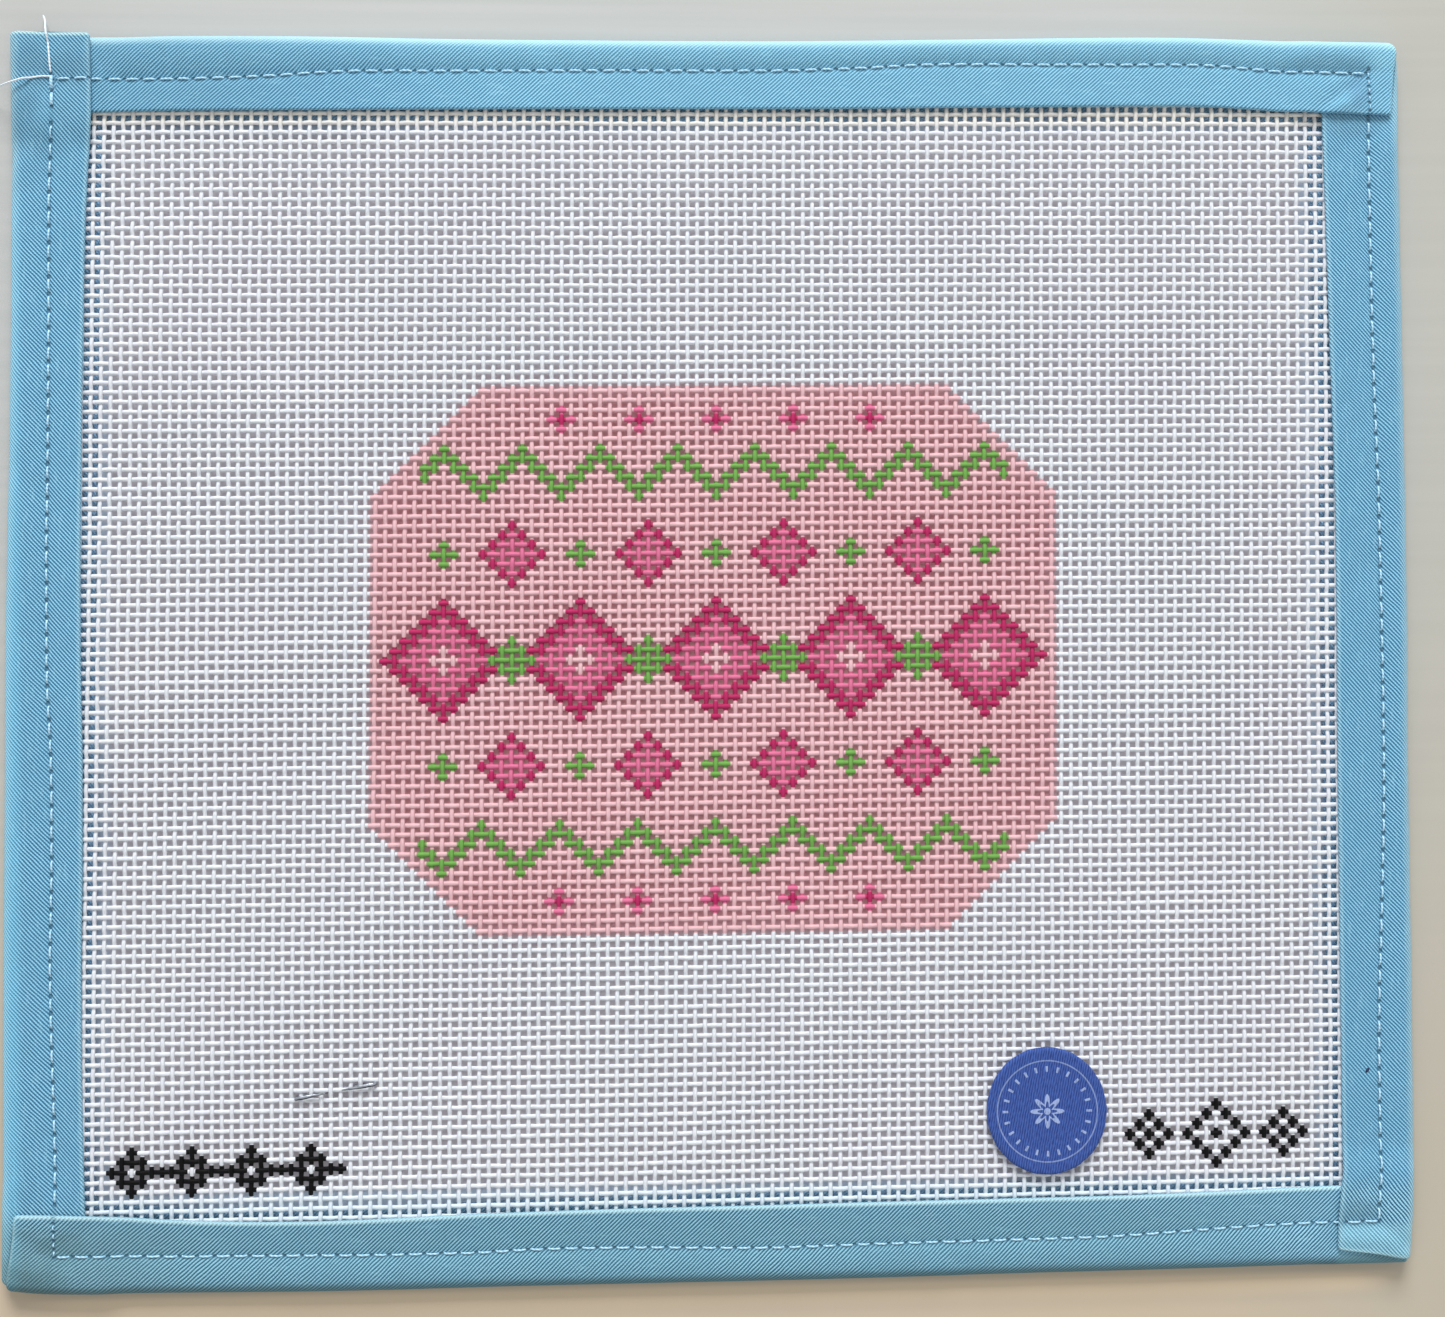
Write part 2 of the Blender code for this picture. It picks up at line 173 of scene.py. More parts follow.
class Graph:
    def __init__(self, tree):
        self.tree = tree

    def link(self, wire, socket):
        self.tree.links.new(wire.socket, socket)

    def add(self, kind, settings=None, inputs=None, output=0):
        node = self.tree.nodes.new(kind)
        for name, value in (settings or {}).items():
            setattr(node, name, value)
        for name, value in (inputs or {}).items():
            if isinstance(value, Wire):
                self.link(value, node.inputs[name])
            else:
                node.inputs[name].default_value = value
        return Wire(self, node.outputs[output])

    def shape(self, kind, inputs=None, output=0, **settings):
        return self.add("GeometryNode" + kind, settings, inputs, output)

    def math(self, operation, *values):
        return self.add("ShaderNodeMath", {"operation": operation}, dict(enumerate(values)))

    def clamp(self, value):
        return self.add("ShaderNodeMath", {"operation": "ADD", "use_clamp": True}, {0: value, 1: 0.0})

    def swing(self, angle):
        return self.math("SINE", angle) * 0.5 + 0.5

    def vector(self, operation, *values):
        return self.add("ShaderNodeVectorMath", {"operation": operation}, dict(enumerate(values)))

    def scaled(self, vector, factor):
        return self.add("ShaderNodeVectorMath", {"operation": "SCALE"}, {0: vector, "Scale": factor})

    def joined(self, x, y, z):
        return self.add("ShaderNodeCombineXYZ", None, {0: x, 1: y, 2: z})

    def parts(self, vector):
        x = self.add("ShaderNodeSeparateXYZ", None, {0: vector})
        return x, x.other("Y"), x.other("Z")

    def attribute(self, name, output):
        return self.add("ShaderNodeAttribute", {"attribute_name": name}, output=output)

    def place(self):
        # where the surface is, in millimetres
        return self.scaled(self.add("ShaderNodeTexCoord", output="Object"), 1.0 / mm)

    def noise(self, vector, scale, detail=2.0, roughness=0.5):
        return self.add("ShaderNodeTexNoise", {"noise_dimensions": "3D"}, {
            "Vector": vector, "Scale": scale, "Detail": detail, "Roughness": roughness})

    def ramp(self, value, low, high, most=1.0, least=0.0):
        return self.add("ShaderNodeMapRange", {"interpolation_type": "SMOOTHSTEP"}, {
            "Value": value, 1: low, 2: high, 3: least, 4: most})

    def mixed(self, factor, first, second):
        return self.add("ShaderNodeMix", {"data_type": "RGBA"}, {0: factor, 6: first, 7: second}, 2)

    def layered(self, colour, *layers):
        # lays each shade over the colour, by its own share
        for share, shade in layers:
            colour = self.mixed(share, colour, tint(*shade))
        return colour

    def finish(self, colour, rough, height, strength, depth):
        # links what varies over a surface to its shader; depth is in millimetres
        bump = self.add("ShaderNodeBump", None, {
            "Height": height, "Strength": strength, "Distance": depth * mm})
        shader = self.tree.nodes["Principled BSDF"]
        for name, wire in (("Base Color", colour), ("Roughness", rough), ("Normal", bump)):
            self.link(wire, shader.inputs[name])


def newMaterial(name, fixed):
    # fixed: values that are the same all over, set on the shader's own sockets
    material = bpy.data.materials.new(name)
    material.use_nodes = True
    for socket, value in fixed.items():
        material.node_tree.nodes["Principled BSDF"].inputs[socket].default_value = value
    return material, Graph(material.node_tree)


def newTree(name, inputs):
    # an empty geometry tree whose named inputs are (kind, default value)
    tree = bpy.data.node_groups.new(name, "GeometryNodeTree")
    for title, (kind, value) in inputs.items():
        socket = tree.interface.new_socket(title, in_out="INPUT", socket_type="NodeSocket" + kind)
        if value is not None:
            socket.default_value = value
    tree.interface.new_socket("Geometry", in_out="OUTPUT", socket_type="NodeSocketGeometry")
    graph = Graph(tree)
    entry = tree.nodes.new("NodeGroupInput")
    given = {title: Wire(graph, entry.outputs[title]) for title in inputs}
    return tree, graph, given, tree.nodes.new("NodeGroupOutput").inputs["Geometry"]


def ovalTube(graph, path, sides, wide, high):
    # a tube of oval section along a path, its top kept upwards
    level = graph.shape("SetCurveNormal", {"Curve": path}, mode="Z_UP")
    ring = graph.shape("CurvePrimitiveCircle", {"Resolution": sides, "Radius": 0.5 * mm}, mode="RADIUS")
    oval = graph.shape("Transform", {"Geometry": ring, "Scale": graph.joined(wide, high, 1.0)})
    return graph.shape("CurveToMesh", {"Curve": level, "Profile Curve": oval, "Fill Caps": True})


def realized(graph, geometry, rounded, material):
    real = graph.shape("RealizeInstances", {"Geometry": geometry})
    soft = graph.shape("SetShadeSmooth", {"Geometry": real, "Shade Smooth": rounded}, domain="FACE")
    return graph.shape("SetMaterial", {"Geometry": soft, "Material": material})


def grow(tree, name, values, source=None):
    # runs a tree on its own object and keeps the result as a plain mesh
    start = linked(name + "_start", source or bpy.data.meshes.new(name + "_start"))
    modifier = start.modifiers.new("grow", "NODES")
    modifier.node_group = tree
    for item in tree.interface.items_tree:
        if item.in_out == "INPUT" and item.name in values:
            modifier[item.identifier] = values[item.name]
    start.update_tag()
    graph = bpy.context.evaluated_depsgraph_get()
    mesh = bpy.data.meshes.new_from_object(
        start.evaluated_get(graph), preserve_all_data_layers=True, depsgraph=graph)
    mesh.name = name
    bpy.data.objects.remove(start, do_unlink=True)
    return linked(name, mesh)


# The canvas: two sets of threads, woven and painted.

# The weave is counted in crossings: column 74 and row 69 are at the chart's middle, and
# each pair of neighbours in columns and in rows bounds one block.
canvas = dict(
    columnPitch=1.4212, rowPitch=1.4111, middleColumn=73.7, middleRow=68.5, skew=0.01294,
    warpWide=0.64, warpHigh=0.48, warpCrimp=0.20, weftWide=0.65, weftHigh=0.48, weftCrimp=0.17,
    columns=(8, 74, 141), rows=(10, 69, 128), hiddenEnd=4, midHeight=1.8,
    sway=0.10, slowSway=2.2, quickSway=1.1, drift=0.30, driftScale=0.021,
    sag=0.35, sagWide=88.0, sagHigh=78.0, uneven=0.22, sides=6, swell=0.16, creep=0.26)

chart = dict(
    column=74, row=69, halfWide=35, halfHigh=28, cutCorner=52, innerWide=30,
    bigEvery=14, bigRadius=6, smallRadius=3, smallRow=11,
    zigzagRow=19, zigzagPeriod=8, zigzagEnd=30, crossRow=25, crossEvery=8, crossEnd=17,
    leftRow=121, leftDiamonds=(15, 21, 27, 33), leftLinks=(18, 24, 30, 36),
    rightRow=119, rightDiamonds=((119, 2), (126, 3), (133, 2)))

paints = dict(
    pink=tint(233, 189, 193), magenta=tint(186, 44, 98), rose=tint(222, 116, 152),
    green=tint(116, 170, 82), black=tint(7, 6, 7))


def threadMaterial(name, alongX, alongY):
    material, graph = newMaterial(name, {
        "Sheen Weight": 0.03, "Sheen Roughness": 0.5, "Specular IOR Level": 0.14})
    place = graph.place()
    y = graph.parts(place)[1]
    paint, lift = graph.attribute("paint", "Color"), graph.attribute("lift", "Fac")
    fibre = graph.noise(graph.vector("MULTIPLY", place, (alongX, alongY, 5.0)), 1.0, detail=3.0)
    knots, cloud = graph.noise(place, 0.42), graph.noise(place, 0.035)
    bare = graph.mixed(graph.ramp(fibre, 0.30, 0.70), tint(216, 219, 224), tint(241, 243, 246))
    bare = graph.layered(
        bare,
        (graph.ramp(cloud, 0.35, 0.70, 0.40), (228, 227, 233)),
        (graph.ramp(knots, 0.60, 0.75, 0.15), (198, 204, 216)),
        # painted warm shade along the canvas's upper edge, where the top binding shades it
        (graph.ramp(y, 77.2, 79.0, 0.50), (240, 230, 210)),      # warmer along its upper edge
        (graph.ramp(y, -76.5, -79.0, 0.35), (206, 236, 248)))    # bluer along its lower edge
    streak = graph.ramp(fibre, 0.32, 0.72)
    cover = graph.mixed(streak, graph.scaled(paint, 0.86), graph.scaled(paint, 1.10))
    cover = graph.mixed(graph.ramp(knots, 0.30, 0.75), cover, paint)
    # painted shade: paint is darker and duller on the lower side of each thread, by how low it sits on its
    # ring
    shadedPaint = graph.vector("MULTIPLY", paint, (0.80, 0.70, 0.74))
    cover = graph.mixed(graph.ramp(lift, -0.4, 0.7), shadedPaint, cover)
    painted = paint.other("Alpha")
    rough = 0.80 - painted * 0.30 + fibre * 0.12
    graph.finish(graph.mixed(painted, bare, cover), rough, fibre + knots * 0.6, 0.55, 0.08)
    return material


def threadTree():
    # one set of parallel threads that bends over and under the set it crosses
    tree, graph, given, leave = newTree("parallelThreads", {
        "Threads": ("Int", 10), "Crossings": ("Int", 10), "First thread": ("Int", 0),
        "First crossing": ("Int", 0), "Upright": ("Float", 1.0), "Wide": ("Float", 0.6),
        "High": ("Float", 0.4), "Crimp": ("Float", 0.2), "Low tail": ("Float", 0.0),
        "High tail": ("Float", 0.0), "Column pitch": ("Float", 1.4), "Row pitch": ("Float", 1.4),
        "Sway": ("Float", 0.1), "Material": ("Material", None)})
    line = graph.shape("MeshLine", {
        "Count": given["Crossings"] * 2.0 + 1.0, "Offset": (0.001, 0.0, 0.0)}, mode="OFFSET")
    curve = graph.shape("MeshToCurve", {"Mesh": line})
    many = graph.shape("DuplicateElements", {
        "Geometry": curve, "Amount": given["Threads"]}, domain="SPLINE")
    step = graph.shape("SplineParameter", output="Index")
    along = given["First crossing"] - 0.5 + step * 0.5
    thread = given["First thread"] + many.other("Duplicate Index")
    kept = many
    for name, value in (("along", along), ("thread", thread)):
        kept = graph.shape("StoreNamedAttribute", {
            "Geometry": kept, "Name": name, "Value": value}, data_type="FLOAT", domain="POINT")
    isFirst = graph.math("LESS_THAN", step, 0.5)
    isLast = graph.math("GREATER_THAN", step, given["Crossings"] * 2.0 - 0.5)
    reach = along - isFirst * given["Low tail"] + isLast * given["High tail"]
    upright = given["Upright"]
    column = reach + (thread - reach) * upright
    row = thread + (reach - thread) * upright

    # threads wander a little, each on its own, and whole areas of cloth drift
    slow = graph.noise(graph.joined(thread * 0.83, reach * 0.11, upright * 31.0 + 4.0), 1.0, detail=1.0)
    quick = graph.noise(graph.joined(thread * 3.1, reach * 0.9, upright * 17.0 + 2.0), 1.0, detail=0.0)
    wander = (slow - 0.5) * canvas["slowSway"] + (quick - 0.5) * canvas["quickSway"]
    wander = wander * given["Sway"]
    area = graph.joined(column * canvas["driftScale"], row * canvas["driftScale"], 7.0)
    driftX, driftY = graph.parts(graph.noise(area, 1.0, detail=0.0).other("Color"))[:2]
    y = (canvas["middleRow"] - row) * given["Row pitch"] + wander * (1.0 - upright)
    y = y + (driftY - 0.5) * canvas["drift"]
    x = (column - canvas["middleColumn"]) * given["Column pitch"] + y * canvas["skew"]
    x = x + wander * upright + (driftX - 0.5) * canvas["drift"]
    wave = graph.math("COSINE", (column + row) * math.pi)
    height = canvas["midHeight"] + wave * given["Crimp"] * (upright * 2.0 - 1.0)
    shareX, shareY = x / canvas["sagWide"], y / canvas["sagHigh"]
    sag = graph.clamp(1.0 - shareX * shareX) * graph.clamp(1.0 - shareY * shareY) * canvas["sag"]
    spot = graph.joined(x - planCentre[0], y - planCentre[1], height - sag)
    placed = graph.shape("SetPosition", {"Geometry": kept, "Position": graph.scaled(spot, mm)})
    size = 1.0 + (quick - 0.5) * canvas["uneven"]
    sized = graph.shape("SetCurveRadius", {"Curve": placed, "Radius": size})
    tubes = ovalTube(graph, sized, canvas["sides"], given["Wide"], given["High"])
    corners = graph.shape("InputMeshFaceNeighbors", output="Vertex Count")
    isSide = graph.math("LESS_THAN", corners, 4.5)
    graph.link(realized(graph, tubes, isSide, given["Material"]), leave)
    return tree


def weaveTree(threads):
    # upright and level threads of one block of the canvas
    tree, graph, given, leave = newTree("canvasBlock", {
        "Columns": ("Int", 60), "Rows": ("Int", 60), "First column": ("Int", 0),
        "First row": ("Int", 0), "Left tail": ("Float", 0.0), "Right tail": ("Float", 0.0),
        "Upper tail": ("Float", 0.0), "Lower tail": ("Float", 0.0),
        "Warp material": ("Material", None), "Weft material": ("Material", None)})
    both = graph.shape("JoinGeometry")
    for name, upright, *own in (
            ("warp", 1.0, "Columns", "Rows", "First column", "First row", "Upper tail", "Lower tail"),
            ("weft", 0.0, "Rows", "Columns", "First row", "First column", "Left tail", "Right tail")):
        common = ("Threads", "Crossings", "First thread", "First crossing", "Low tail", "High tail")
        values = {title: given[key] for title, key in zip(common, own)}
        values.update({
            "Upright": upright, "Wide": canvas[name + "Wide"], "High": canvas[name + "High"],
            "Crimp": canvas[name + "Crimp"], "Material": given[name.capitalize() + " material"],
            "Column pitch": canvas["columnPitch"], "Row pitch": canvas["rowPitch"],
            "Sway": canvas["sway"]})
        graph.link(graph.shape("Group", values, node_tree=threads), both.socket.node.inputs[0])
    graph.link(both, leave)
    return tree


def fromNearest(i, every, shift=0):
    # how far a column is from the nearest one of those that repeat
    return abs((i + shift + every // 2) % every - every // 2)


def chartPaint(upright, thread, crossing):
    # which paint each crossing carries; an empty name is bare canvas
    column, row = np.where(upright, thread, crossing), np.where(upright, crossing, thread)
    i = column - chart["column"]
    wide, high = abs(i), abs(chart["row"] - row)
    paint = np.full(i.shape, "", dtype="<U8")
    field = (wide <= chart["halfWide"]) & (high <= chart["halfHigh"]) & (wide + high <= chart["cutCorner"])
    inner = field & (wide < chart["innerWide"])
    paint[field] = "pink"
    # five large stepped diamonds in a row, with small green ones between them
    fromBig = fromNearest(i, chart["bigEvery"])
    fromGap = fromNearest(i, chart["bigEvery"], chart["bigEvery"] // 2)
    steps = fromBig + high
    paint[field & (steps <= chart["bigRadius"])] = "magenta"
    paint[field & (steps < chart["bigRadius"] - 1)] = "rose"
    paint[field & (steps <= 1)] = "pink"
    paint[inner & (fromGap + high <= 2)] = "green"
    # a row of small diamonds above and below
    fromRow = abs(high - chart["smallRow"])
    paint[inner & (fromGap + fromRow <= chart["smallRadius"])] = "magenta"
    paint[inner & (fromGap + fromRow < chart["smallRadius"])] = "rose"
    paint[field & (fromBig + fromRow <= 1)] = "green"
    # green zigzag bands and little crosses near the edges
    band = high - chart["zigzagRow"] - fromNearest(i, chart["zigzagPeriod"]) + 2
    paint[field & (wide <= chart["zigzagEnd"]) & (band >= 0) & (band <= 1)] = "green"
    fromCross = fromNearest(i, chart["crossEvery"]) + abs(high - chart["crossRow"])
    paint[field & (wide <= chart["crossEnd"]) & (fromCross <= 1)] = "rose"
    paint[field & (wide <= chart["crossEnd"]) & (fromCross == 0)] = "magenta"
    # small black ornaments low on both sides
    for centre in chart["leftDiamonds"]:
        steps = abs(column - centre) + abs(row - chart["leftRow"])
        paint[(steps <= 2) & (steps > 0)] = "black"
    for centre in chart["leftLinks"]:
        paint[(column == centre) & (row == chart["leftRow"])] = "black"
    for centre, radius in chart["rightDiamonds"]:
        steps = abs(column - centre) + abs(row - chart["rightRow"])
        paint[(steps == radius) | (steps == 0)] = "black"
    return paint


def paintThreads(mesh):
    # colours every face by the crossing nearest to it
    starts, totals, slots = [
        fetch(mesh.polygons, field, np.int32) for field in ("loop_start", "loop_total", "material_index")]
    corners = fetch(mesh.loops, "vertex_index", np.int32)
    along, thread = [fetch(mesh.attributes[name].data, "value") for name in ("along", "thread")]
    upright = slots == mesh.materials.find("warpCotton")
    crossing, nearest = [
        np.rint(np.add.reduceat(values[corners], starts) / totals).astype(int)
        for values in (along, thread)]
    paint = chartPaint(upright, nearest, crossing)
    colour = np.zeros((len(paint), 4), np.float32)
    for name, value in paints.items():
        colour[paint == name] = value
    store(mesh, "paint", "FLOAT_COLOR", "FACE", colour)

    # paint makes the threads thicker, so each ring of points swells about its middle, and
    # black creeps a little past the crossings that it is put on
    uprights = np.zeros(len(mesh.vertices), bool)
    uprights[corners] = np.repeat(upright, totals)
    uprights, along, thread = [values[::canvas["sides"]] for values in (uprights, along, np.rint(thread))]
    swell, creep = 0.0, 0.0
    for crossing, part in ((np.floor(along + 0.01), 0.5), (np.ceil(along - 0.01), -0.5)):
        paint = chartPaint(uprights, thread.astype(int), crossing.astype(int))
        swell = swell + 0.5 * canvas["swell"] * (paint != "")
        creep = creep + part * canvas["creep"] * mm * (paint == "black")
    swell = np.where(abs(along - np.rint(along)) < 0.1, swell, 0.5 * swell)
    rings = fetch(mesh.vertices, "co", width=3).reshape(-1, canvas["sides"], 3)
    middle = rings.mean(axis=1, keepdims=True)
    # how high each point sits on its ring; the thread material paints shade on the lower sides of painted
    # threads by it
    lift = rings[:, :, 2] - middle[:, :, 2]
    lift = lift / abs(lift).max(axis=1, keepdims=True)
    rings = middle + (rings - middle) * (1.0 + swell)[:, None, None]
    rings[:, :, 0] += np.where(uprights, 0.0, creep)[:, None]
    rings[:, :, 1] -= np.where(uprights, creep, 0.0)[:, None]
    mesh.vertices.foreach_set("co", rings.astype(np.float32).ravel())
    store(mesh, "lift", "FLOAT", "POINT", lift)
    mesh.update()


def flatMap(mesh, spread=0.98):
    # looks straight down on the cloth, as a map for its textures
    spots = fetch(mesh.vertices, "co", width=3)[:, :2]
    corners = fetch(mesh.loops, "vertex_index", np.int32)
    flat = (spots - spots.min(0)) / np.ptp(spots, axis=0).max() * spread
    mesh.uv_layers.new(name="OFBake").data.foreach_set("uv", flat[corners].ravel())


warpCotton = threadMaterial("warpCotton", 7.0, 0.9)
weftCotton = threadMaterial("weftCotton", 0.9, 7.0)
blockTree = weaveTree(threadTree())
hidden = float(canvas["hiddenEnd"])
canvasBlocks = []
for across, side in enumerate(("left", "right")):
    for down, level in enumerate(("upper", "lower")):
        column, endColumn = canvas["columns"][across:across + 2]
        row, endRow = canvas["rows"][down:down + 2]
        block = grow(blockTree, "canvas_" + level + "_" + side, {
            "Columns": endColumn - column, "Rows": endRow - row,
            "First column": column, "First row": row,
            "Left tail": hidden * (across == 0), "Right tail": hidden * (across == 1),
            "Upper tail": hidden * (down == 0), "Lower tail": hidden * (down == 1),
            "Warp material": warpCotton, "Weft material": weftCotton})
        paintThreads(block.data)
        flatMap(block.data)
        canvasBlocks.append(block)
print("canvas woven and painted,", sum(len(b.data.polygons) for b in canvasBlocks), "faces")


# The four bindings of folded tape.

# The same plan as the construction: each row says where it is along a strip, then the
# places of its outer fold, its sewing line, and the inner edges of its front and back legs.
planColumns = dict(at=0, fold=1, sewn=2, front=3, back=4)
topPlan = [
    (-99.6, 90.85, 84.40, 79.60, 78.30),
    (-89.0, 90.95, 84.50, 79.65, 78.30),
    (-78.0, 91.25, 84.60, 79.90, 78.40),
    (-66.0, 91.30, 85.00, 80.00, 78.50),
    (-54.0, 91.20, 85.75, 80.05, 78.60),
    (-40.0, 90.95, 85.85, 80.15, 78.80),
    (-15.0, 90.75, 85.95, 80.25, 78.75),
    (8.0, 90.70, 85.95, 80.25, 78.90),
    (22.0, 90.82, 86.35, 80.32, 79.00),
    (35.0, 91.00, 86.95, 80.45, 79.20),
    (55.0, 91.30, 86.95, 80.65, 79.40),
    (66.0, 91.40, 86.95, 80.70, 79.40),
    (75.0, 91.27, 86.85, 80.60, 79.20),
    (85.0, 90.95, 86.05, 80.00, 78.80),
    (93.0, 90.68, 85.65, 79.50, 78.40),
    (103.15, 90.55, 85.55, 79.15, 78.10)]
bottomPlan = [
    (-101.9, -90.45, -85.45, -79.35, -78.20),
    (-97.5, -90.95, -85.45, -79.45, -78.25),
    (-90.0, -91.22, -85.50, -79.75, -78.50),
    (-80.0, -91.32, -85.85, -80.55, -79.20),
    (-70.0, -91.45, -86.00, -81.10, -79.80),
    (-58.0, -91.58, -86.15, -81.28, -80.00),
    (-47.0, -91.60, -86.30, -81.10, -79.90),
    (-38.0, -91.52, -86.30, -80.80, -79.50),
    (-24.0, -91.45, -85.92, -80.52, -79.20),
    (-10.0, -91.45, -86.05, -80.38, -79.00),
    (8.0, -91.45, -86.43, -80.28, -78.90),
    (25.0, -91.38, -86.20, -80.15, -78.80),
    (42.0, -91.20, -86.05, -80.05, -78.60),
    (58.0, -91.12, -85.80, -79.95, -78.50),
    (74.0, -91.00, -85.00, -79.62, -78.30),
    (86.0, -90.85, -84.50, -79.25, -78.00),
    (101.4, -90.75, -84.15, -79.00, -77.90)]
leftPlan = [
    (-89.6, -102.85, -95.05, -90.70, -89.50),
    (-80.0, -102.80, -95.05, -90.80, -89.60),
    (-70.0, -102.75, -95.10, -91.05, -89.90),
    (-58.0, -102.75, -95.45, -91.25, -90.00),
    (-44.0, -102.70, -95.75, -91.28, -89.90),
    (-30.0, -102.58, -95.50, -91.10, -89.70),
    (-15.0, -102.48, -95.60, -91.10, -89.60),
    (0.0, -102.42, -96.20, -91.33, -89.70),
    (15.0, -102.18, -96.20, -91.32, -89.60),
    (32.0, -101.82, -96.00, -91.15, -89.40),
    (50.0, -101.60, -95.88, -90.85, -89.00),
    (62.0, -101.52, -95.85, -90.60, -88.60),
    (72.0, -101.40, -95.70, -90.15, -88.20),
    (80.0, -101.45, -95.25, -89.55, -88.00),
    (91.4, -101.55, -95.60, -89.70, -88.20)]
rightPlan = [
    (-90.05, 101.80, 96.70, 90.60, 89.40),
    (-83.0, 102.40, 96.90, 90.95, 89.70),
    (-76.0, 102.70, 97.45, 91.75, 90.50),
    (-66.0, 102.90, 97.55, 91.92, 90.60),
    (-52.0, 103.02, 97.80, 92.00, 90.60),
    (-40.0, 103.10, 98.40, 92.08, 90.60),
    (-26.0, 103.15, 98.98, 92.20, 90.70),
    (-12.0, 103.25, 99.25, 92.32, 90.80),
    (4.0, 103.50, 99.28, 92.55, 91.00),
    (20.0, 103.60, 99.25, 92.65, 91.00),
    (33.0, 103.60, 98.98, 92.52, 90.90),
    (48.0, 103.60, 98.78, 92.28, 90.60),
    (64.0, 103.60, 98.75, 92.05, 90.40),
    (76.0, 103.60, 98.75, 91.85, 90.20),
    (88.75, 103.60, 98.75, 91.80, 90.10)]

# `lapEnd` is the end that laps over a neighbour from `lapFrom`; the other end goes under
# one as far as `underTo`. `lean` slants an end, `round` rounds its outer corner, and
# `sewFrom` and `sewTo` are the ends of the sewing. Between `dotsFrom` and `dotsTo` the
# stitches are short and drawn in, so that only their needle holes show.
strips = [
    dict(name="binding_top", side="y", inward=-1, plan=topPlan, lapEnd=1, lapFrom=91.8,
         underTo=-89.4, leanLow=0.0, leanHigh=-1.1, roundLow=1.0, roundHigh=1.3, ribTurn=1,
         hemPaintedLight=0.0, rimPaintedLight=0.9, endPaintedLight=0.15,
         sewFrom=-94.8, sewTo=98.5, dotsFrom=999.0, dotsTo=999.0),
    dict(name="binding_bottom", side="y", inward=1, plan=bottomPlan, lapEnd=-1, lapFrom=-90.8,
         underTo=90.7, leanLow=1.2, leanHigh=0.0, roundLow=0.6, roundHigh=0.5, ribTurn=-1,
         hemPaintedLight=1.2, rimPaintedLight=-0.9, endPaintedLight=1.0,
         sewFrom=-94.9, sewTo=97.0, dotsFrom=999.0, dotsTo=999.0),
    dict(name="binding_left", side="x", inward=1, plan=leftPlan, lapEnd=1, lapFrom=79.7,
         underTo=-79.5, leanLow=0.0, leanHigh=-0.25, roundLow=0.8, roundHigh=0.3, ribTurn=1,
         hemPaintedLight=0.3, rimPaintedLight=0.45, endPaintedLight=1.3,
         sewFrom=-85.6, sewTo=85.3, dotsFrom=-86.0, dotsTo=-79.8),
    dict(name="binding_right", side="x", inward=-1, plan=rightPlan, lapEnd=-1, lapFrom=-79.1,
         underTo=79.2, leanLow=1.75, leanHigh=0.0, roundLow=0.40, roundHigh=1.0, ribTurn=-1,
         hemPaintedLight=0.3, rimPaintedLight=0.4, endPaintedLight=0.9,
         sewFrom=-84.4, sewTo=86.0, dotsFrom=79.4, dotsTo=86.5)]

binding = dict(
    leg=0.58, backLow=0.0, frontLow=2.18, lapRise=0.68, tuckRise=0.64, tuckLeg=0.43,
    foldReach=1.2, foldReachTop=1.7, foldReachIn=0.75, foldSquare=0.95, lapRamp=5.0, lapLead=1.2,
    puff=0.48, seamSink=0.22, hemRise=0.12, hemRound=0.28, endRound=0.30, backLift=0.58,
    station=0.78, seamDepth=0.20, seamWide=0.55, stitchPitch=2.48, waviness=0.08,
    hemCorner=0.6, cornerReach=5.0, leanReach=9.0, puffReach=6.0, tuckFlat=0.8,
    ribPitch=0.43, ribAngle=43.0, yarnPitch=0.36, flatWide=26.5)


def readPlan(strip, key, at):
    # one column of a strip's plan, on a smooth curve through its rows
    plan = np.array(strip["plan"])
    stations, values = plan[:, planColumns["at"]], plan[:, planColumns[key]]
    steps = np.diff(values) / np.diff(stations)
    before = np.concatenate([steps[:1], steps])
    after = np.concatenate([steps, steps[-1:]])
    slopes = np.where(before * after > 0, 0.5 * (before + after), 0.0)
    at = np.clip(at, stations[0], stations[-1])
    k = np.clip(np.searchsorted(stations, at) - 1, 0, len(steps) - 1)
    span = stations[k + 1] - stations[k]
    t = (at - stations[k]) / span
    return between(t, span, values[k], values[k + 1], slopes[k], slopes[k + 1])


def stitchPitch(strip):
    # near the usual pitch, and a whole number of stitches from end to end
    length = strip["sewTo"] - strip["sewFrom"]
    return length / round(length / binding["stitchPitch"])


def sewnFrame(x, y, side):
    # for the nearer sewing line of a side: how many stitches along it, how far off it,
    # and whether it is sewn there
    stitches, away, within = np.zeros_like(x), np.full_like(x, 99.0), np.zeros_like(x)
    for strip in strips:
        if strip["side"] != side:
            continue
        along, across = (x, y) if side == "y" else (y, x)
        off = across - readPlan(strip, "sewn", along)
        nearer = abs(off) < abs(away)
        sewn = smooth((along - strip["sewFrom"] + 0.4) / 0.3) * smooth((strip["sewTo"] + 0.4 - along) / 0.3)
        dotted = (along > strip["dotsFrom"]) & (along < strip["dotsTo"])
        steps = (along - strip["sewFrom"]) / stitchPitch(strip) * np.where(dotted, 2.0, 1.0)
        stitches = np.where(nearer, steps, stitches)
        within = np.where(nearer, sewn, within)
        away = np.where(nearer, off, away)
    return stitches, away, within


def seamPress(x, y):
    # depth of the valleys that the sewing lines pull into the cloth
    depth = np.zeros_like(x)
    for side in ("x", "y"):
        stitches, away, within = sewnFrame(x, y, side)
        pull = 0.60 + 0.40 * np.cos(fullTurn * stitches)
        depth = np.maximum(depth, within * pull * np.exp(-(away / binding["seamWide"]) ** 2))
    return depth * binding["seamDepth"]


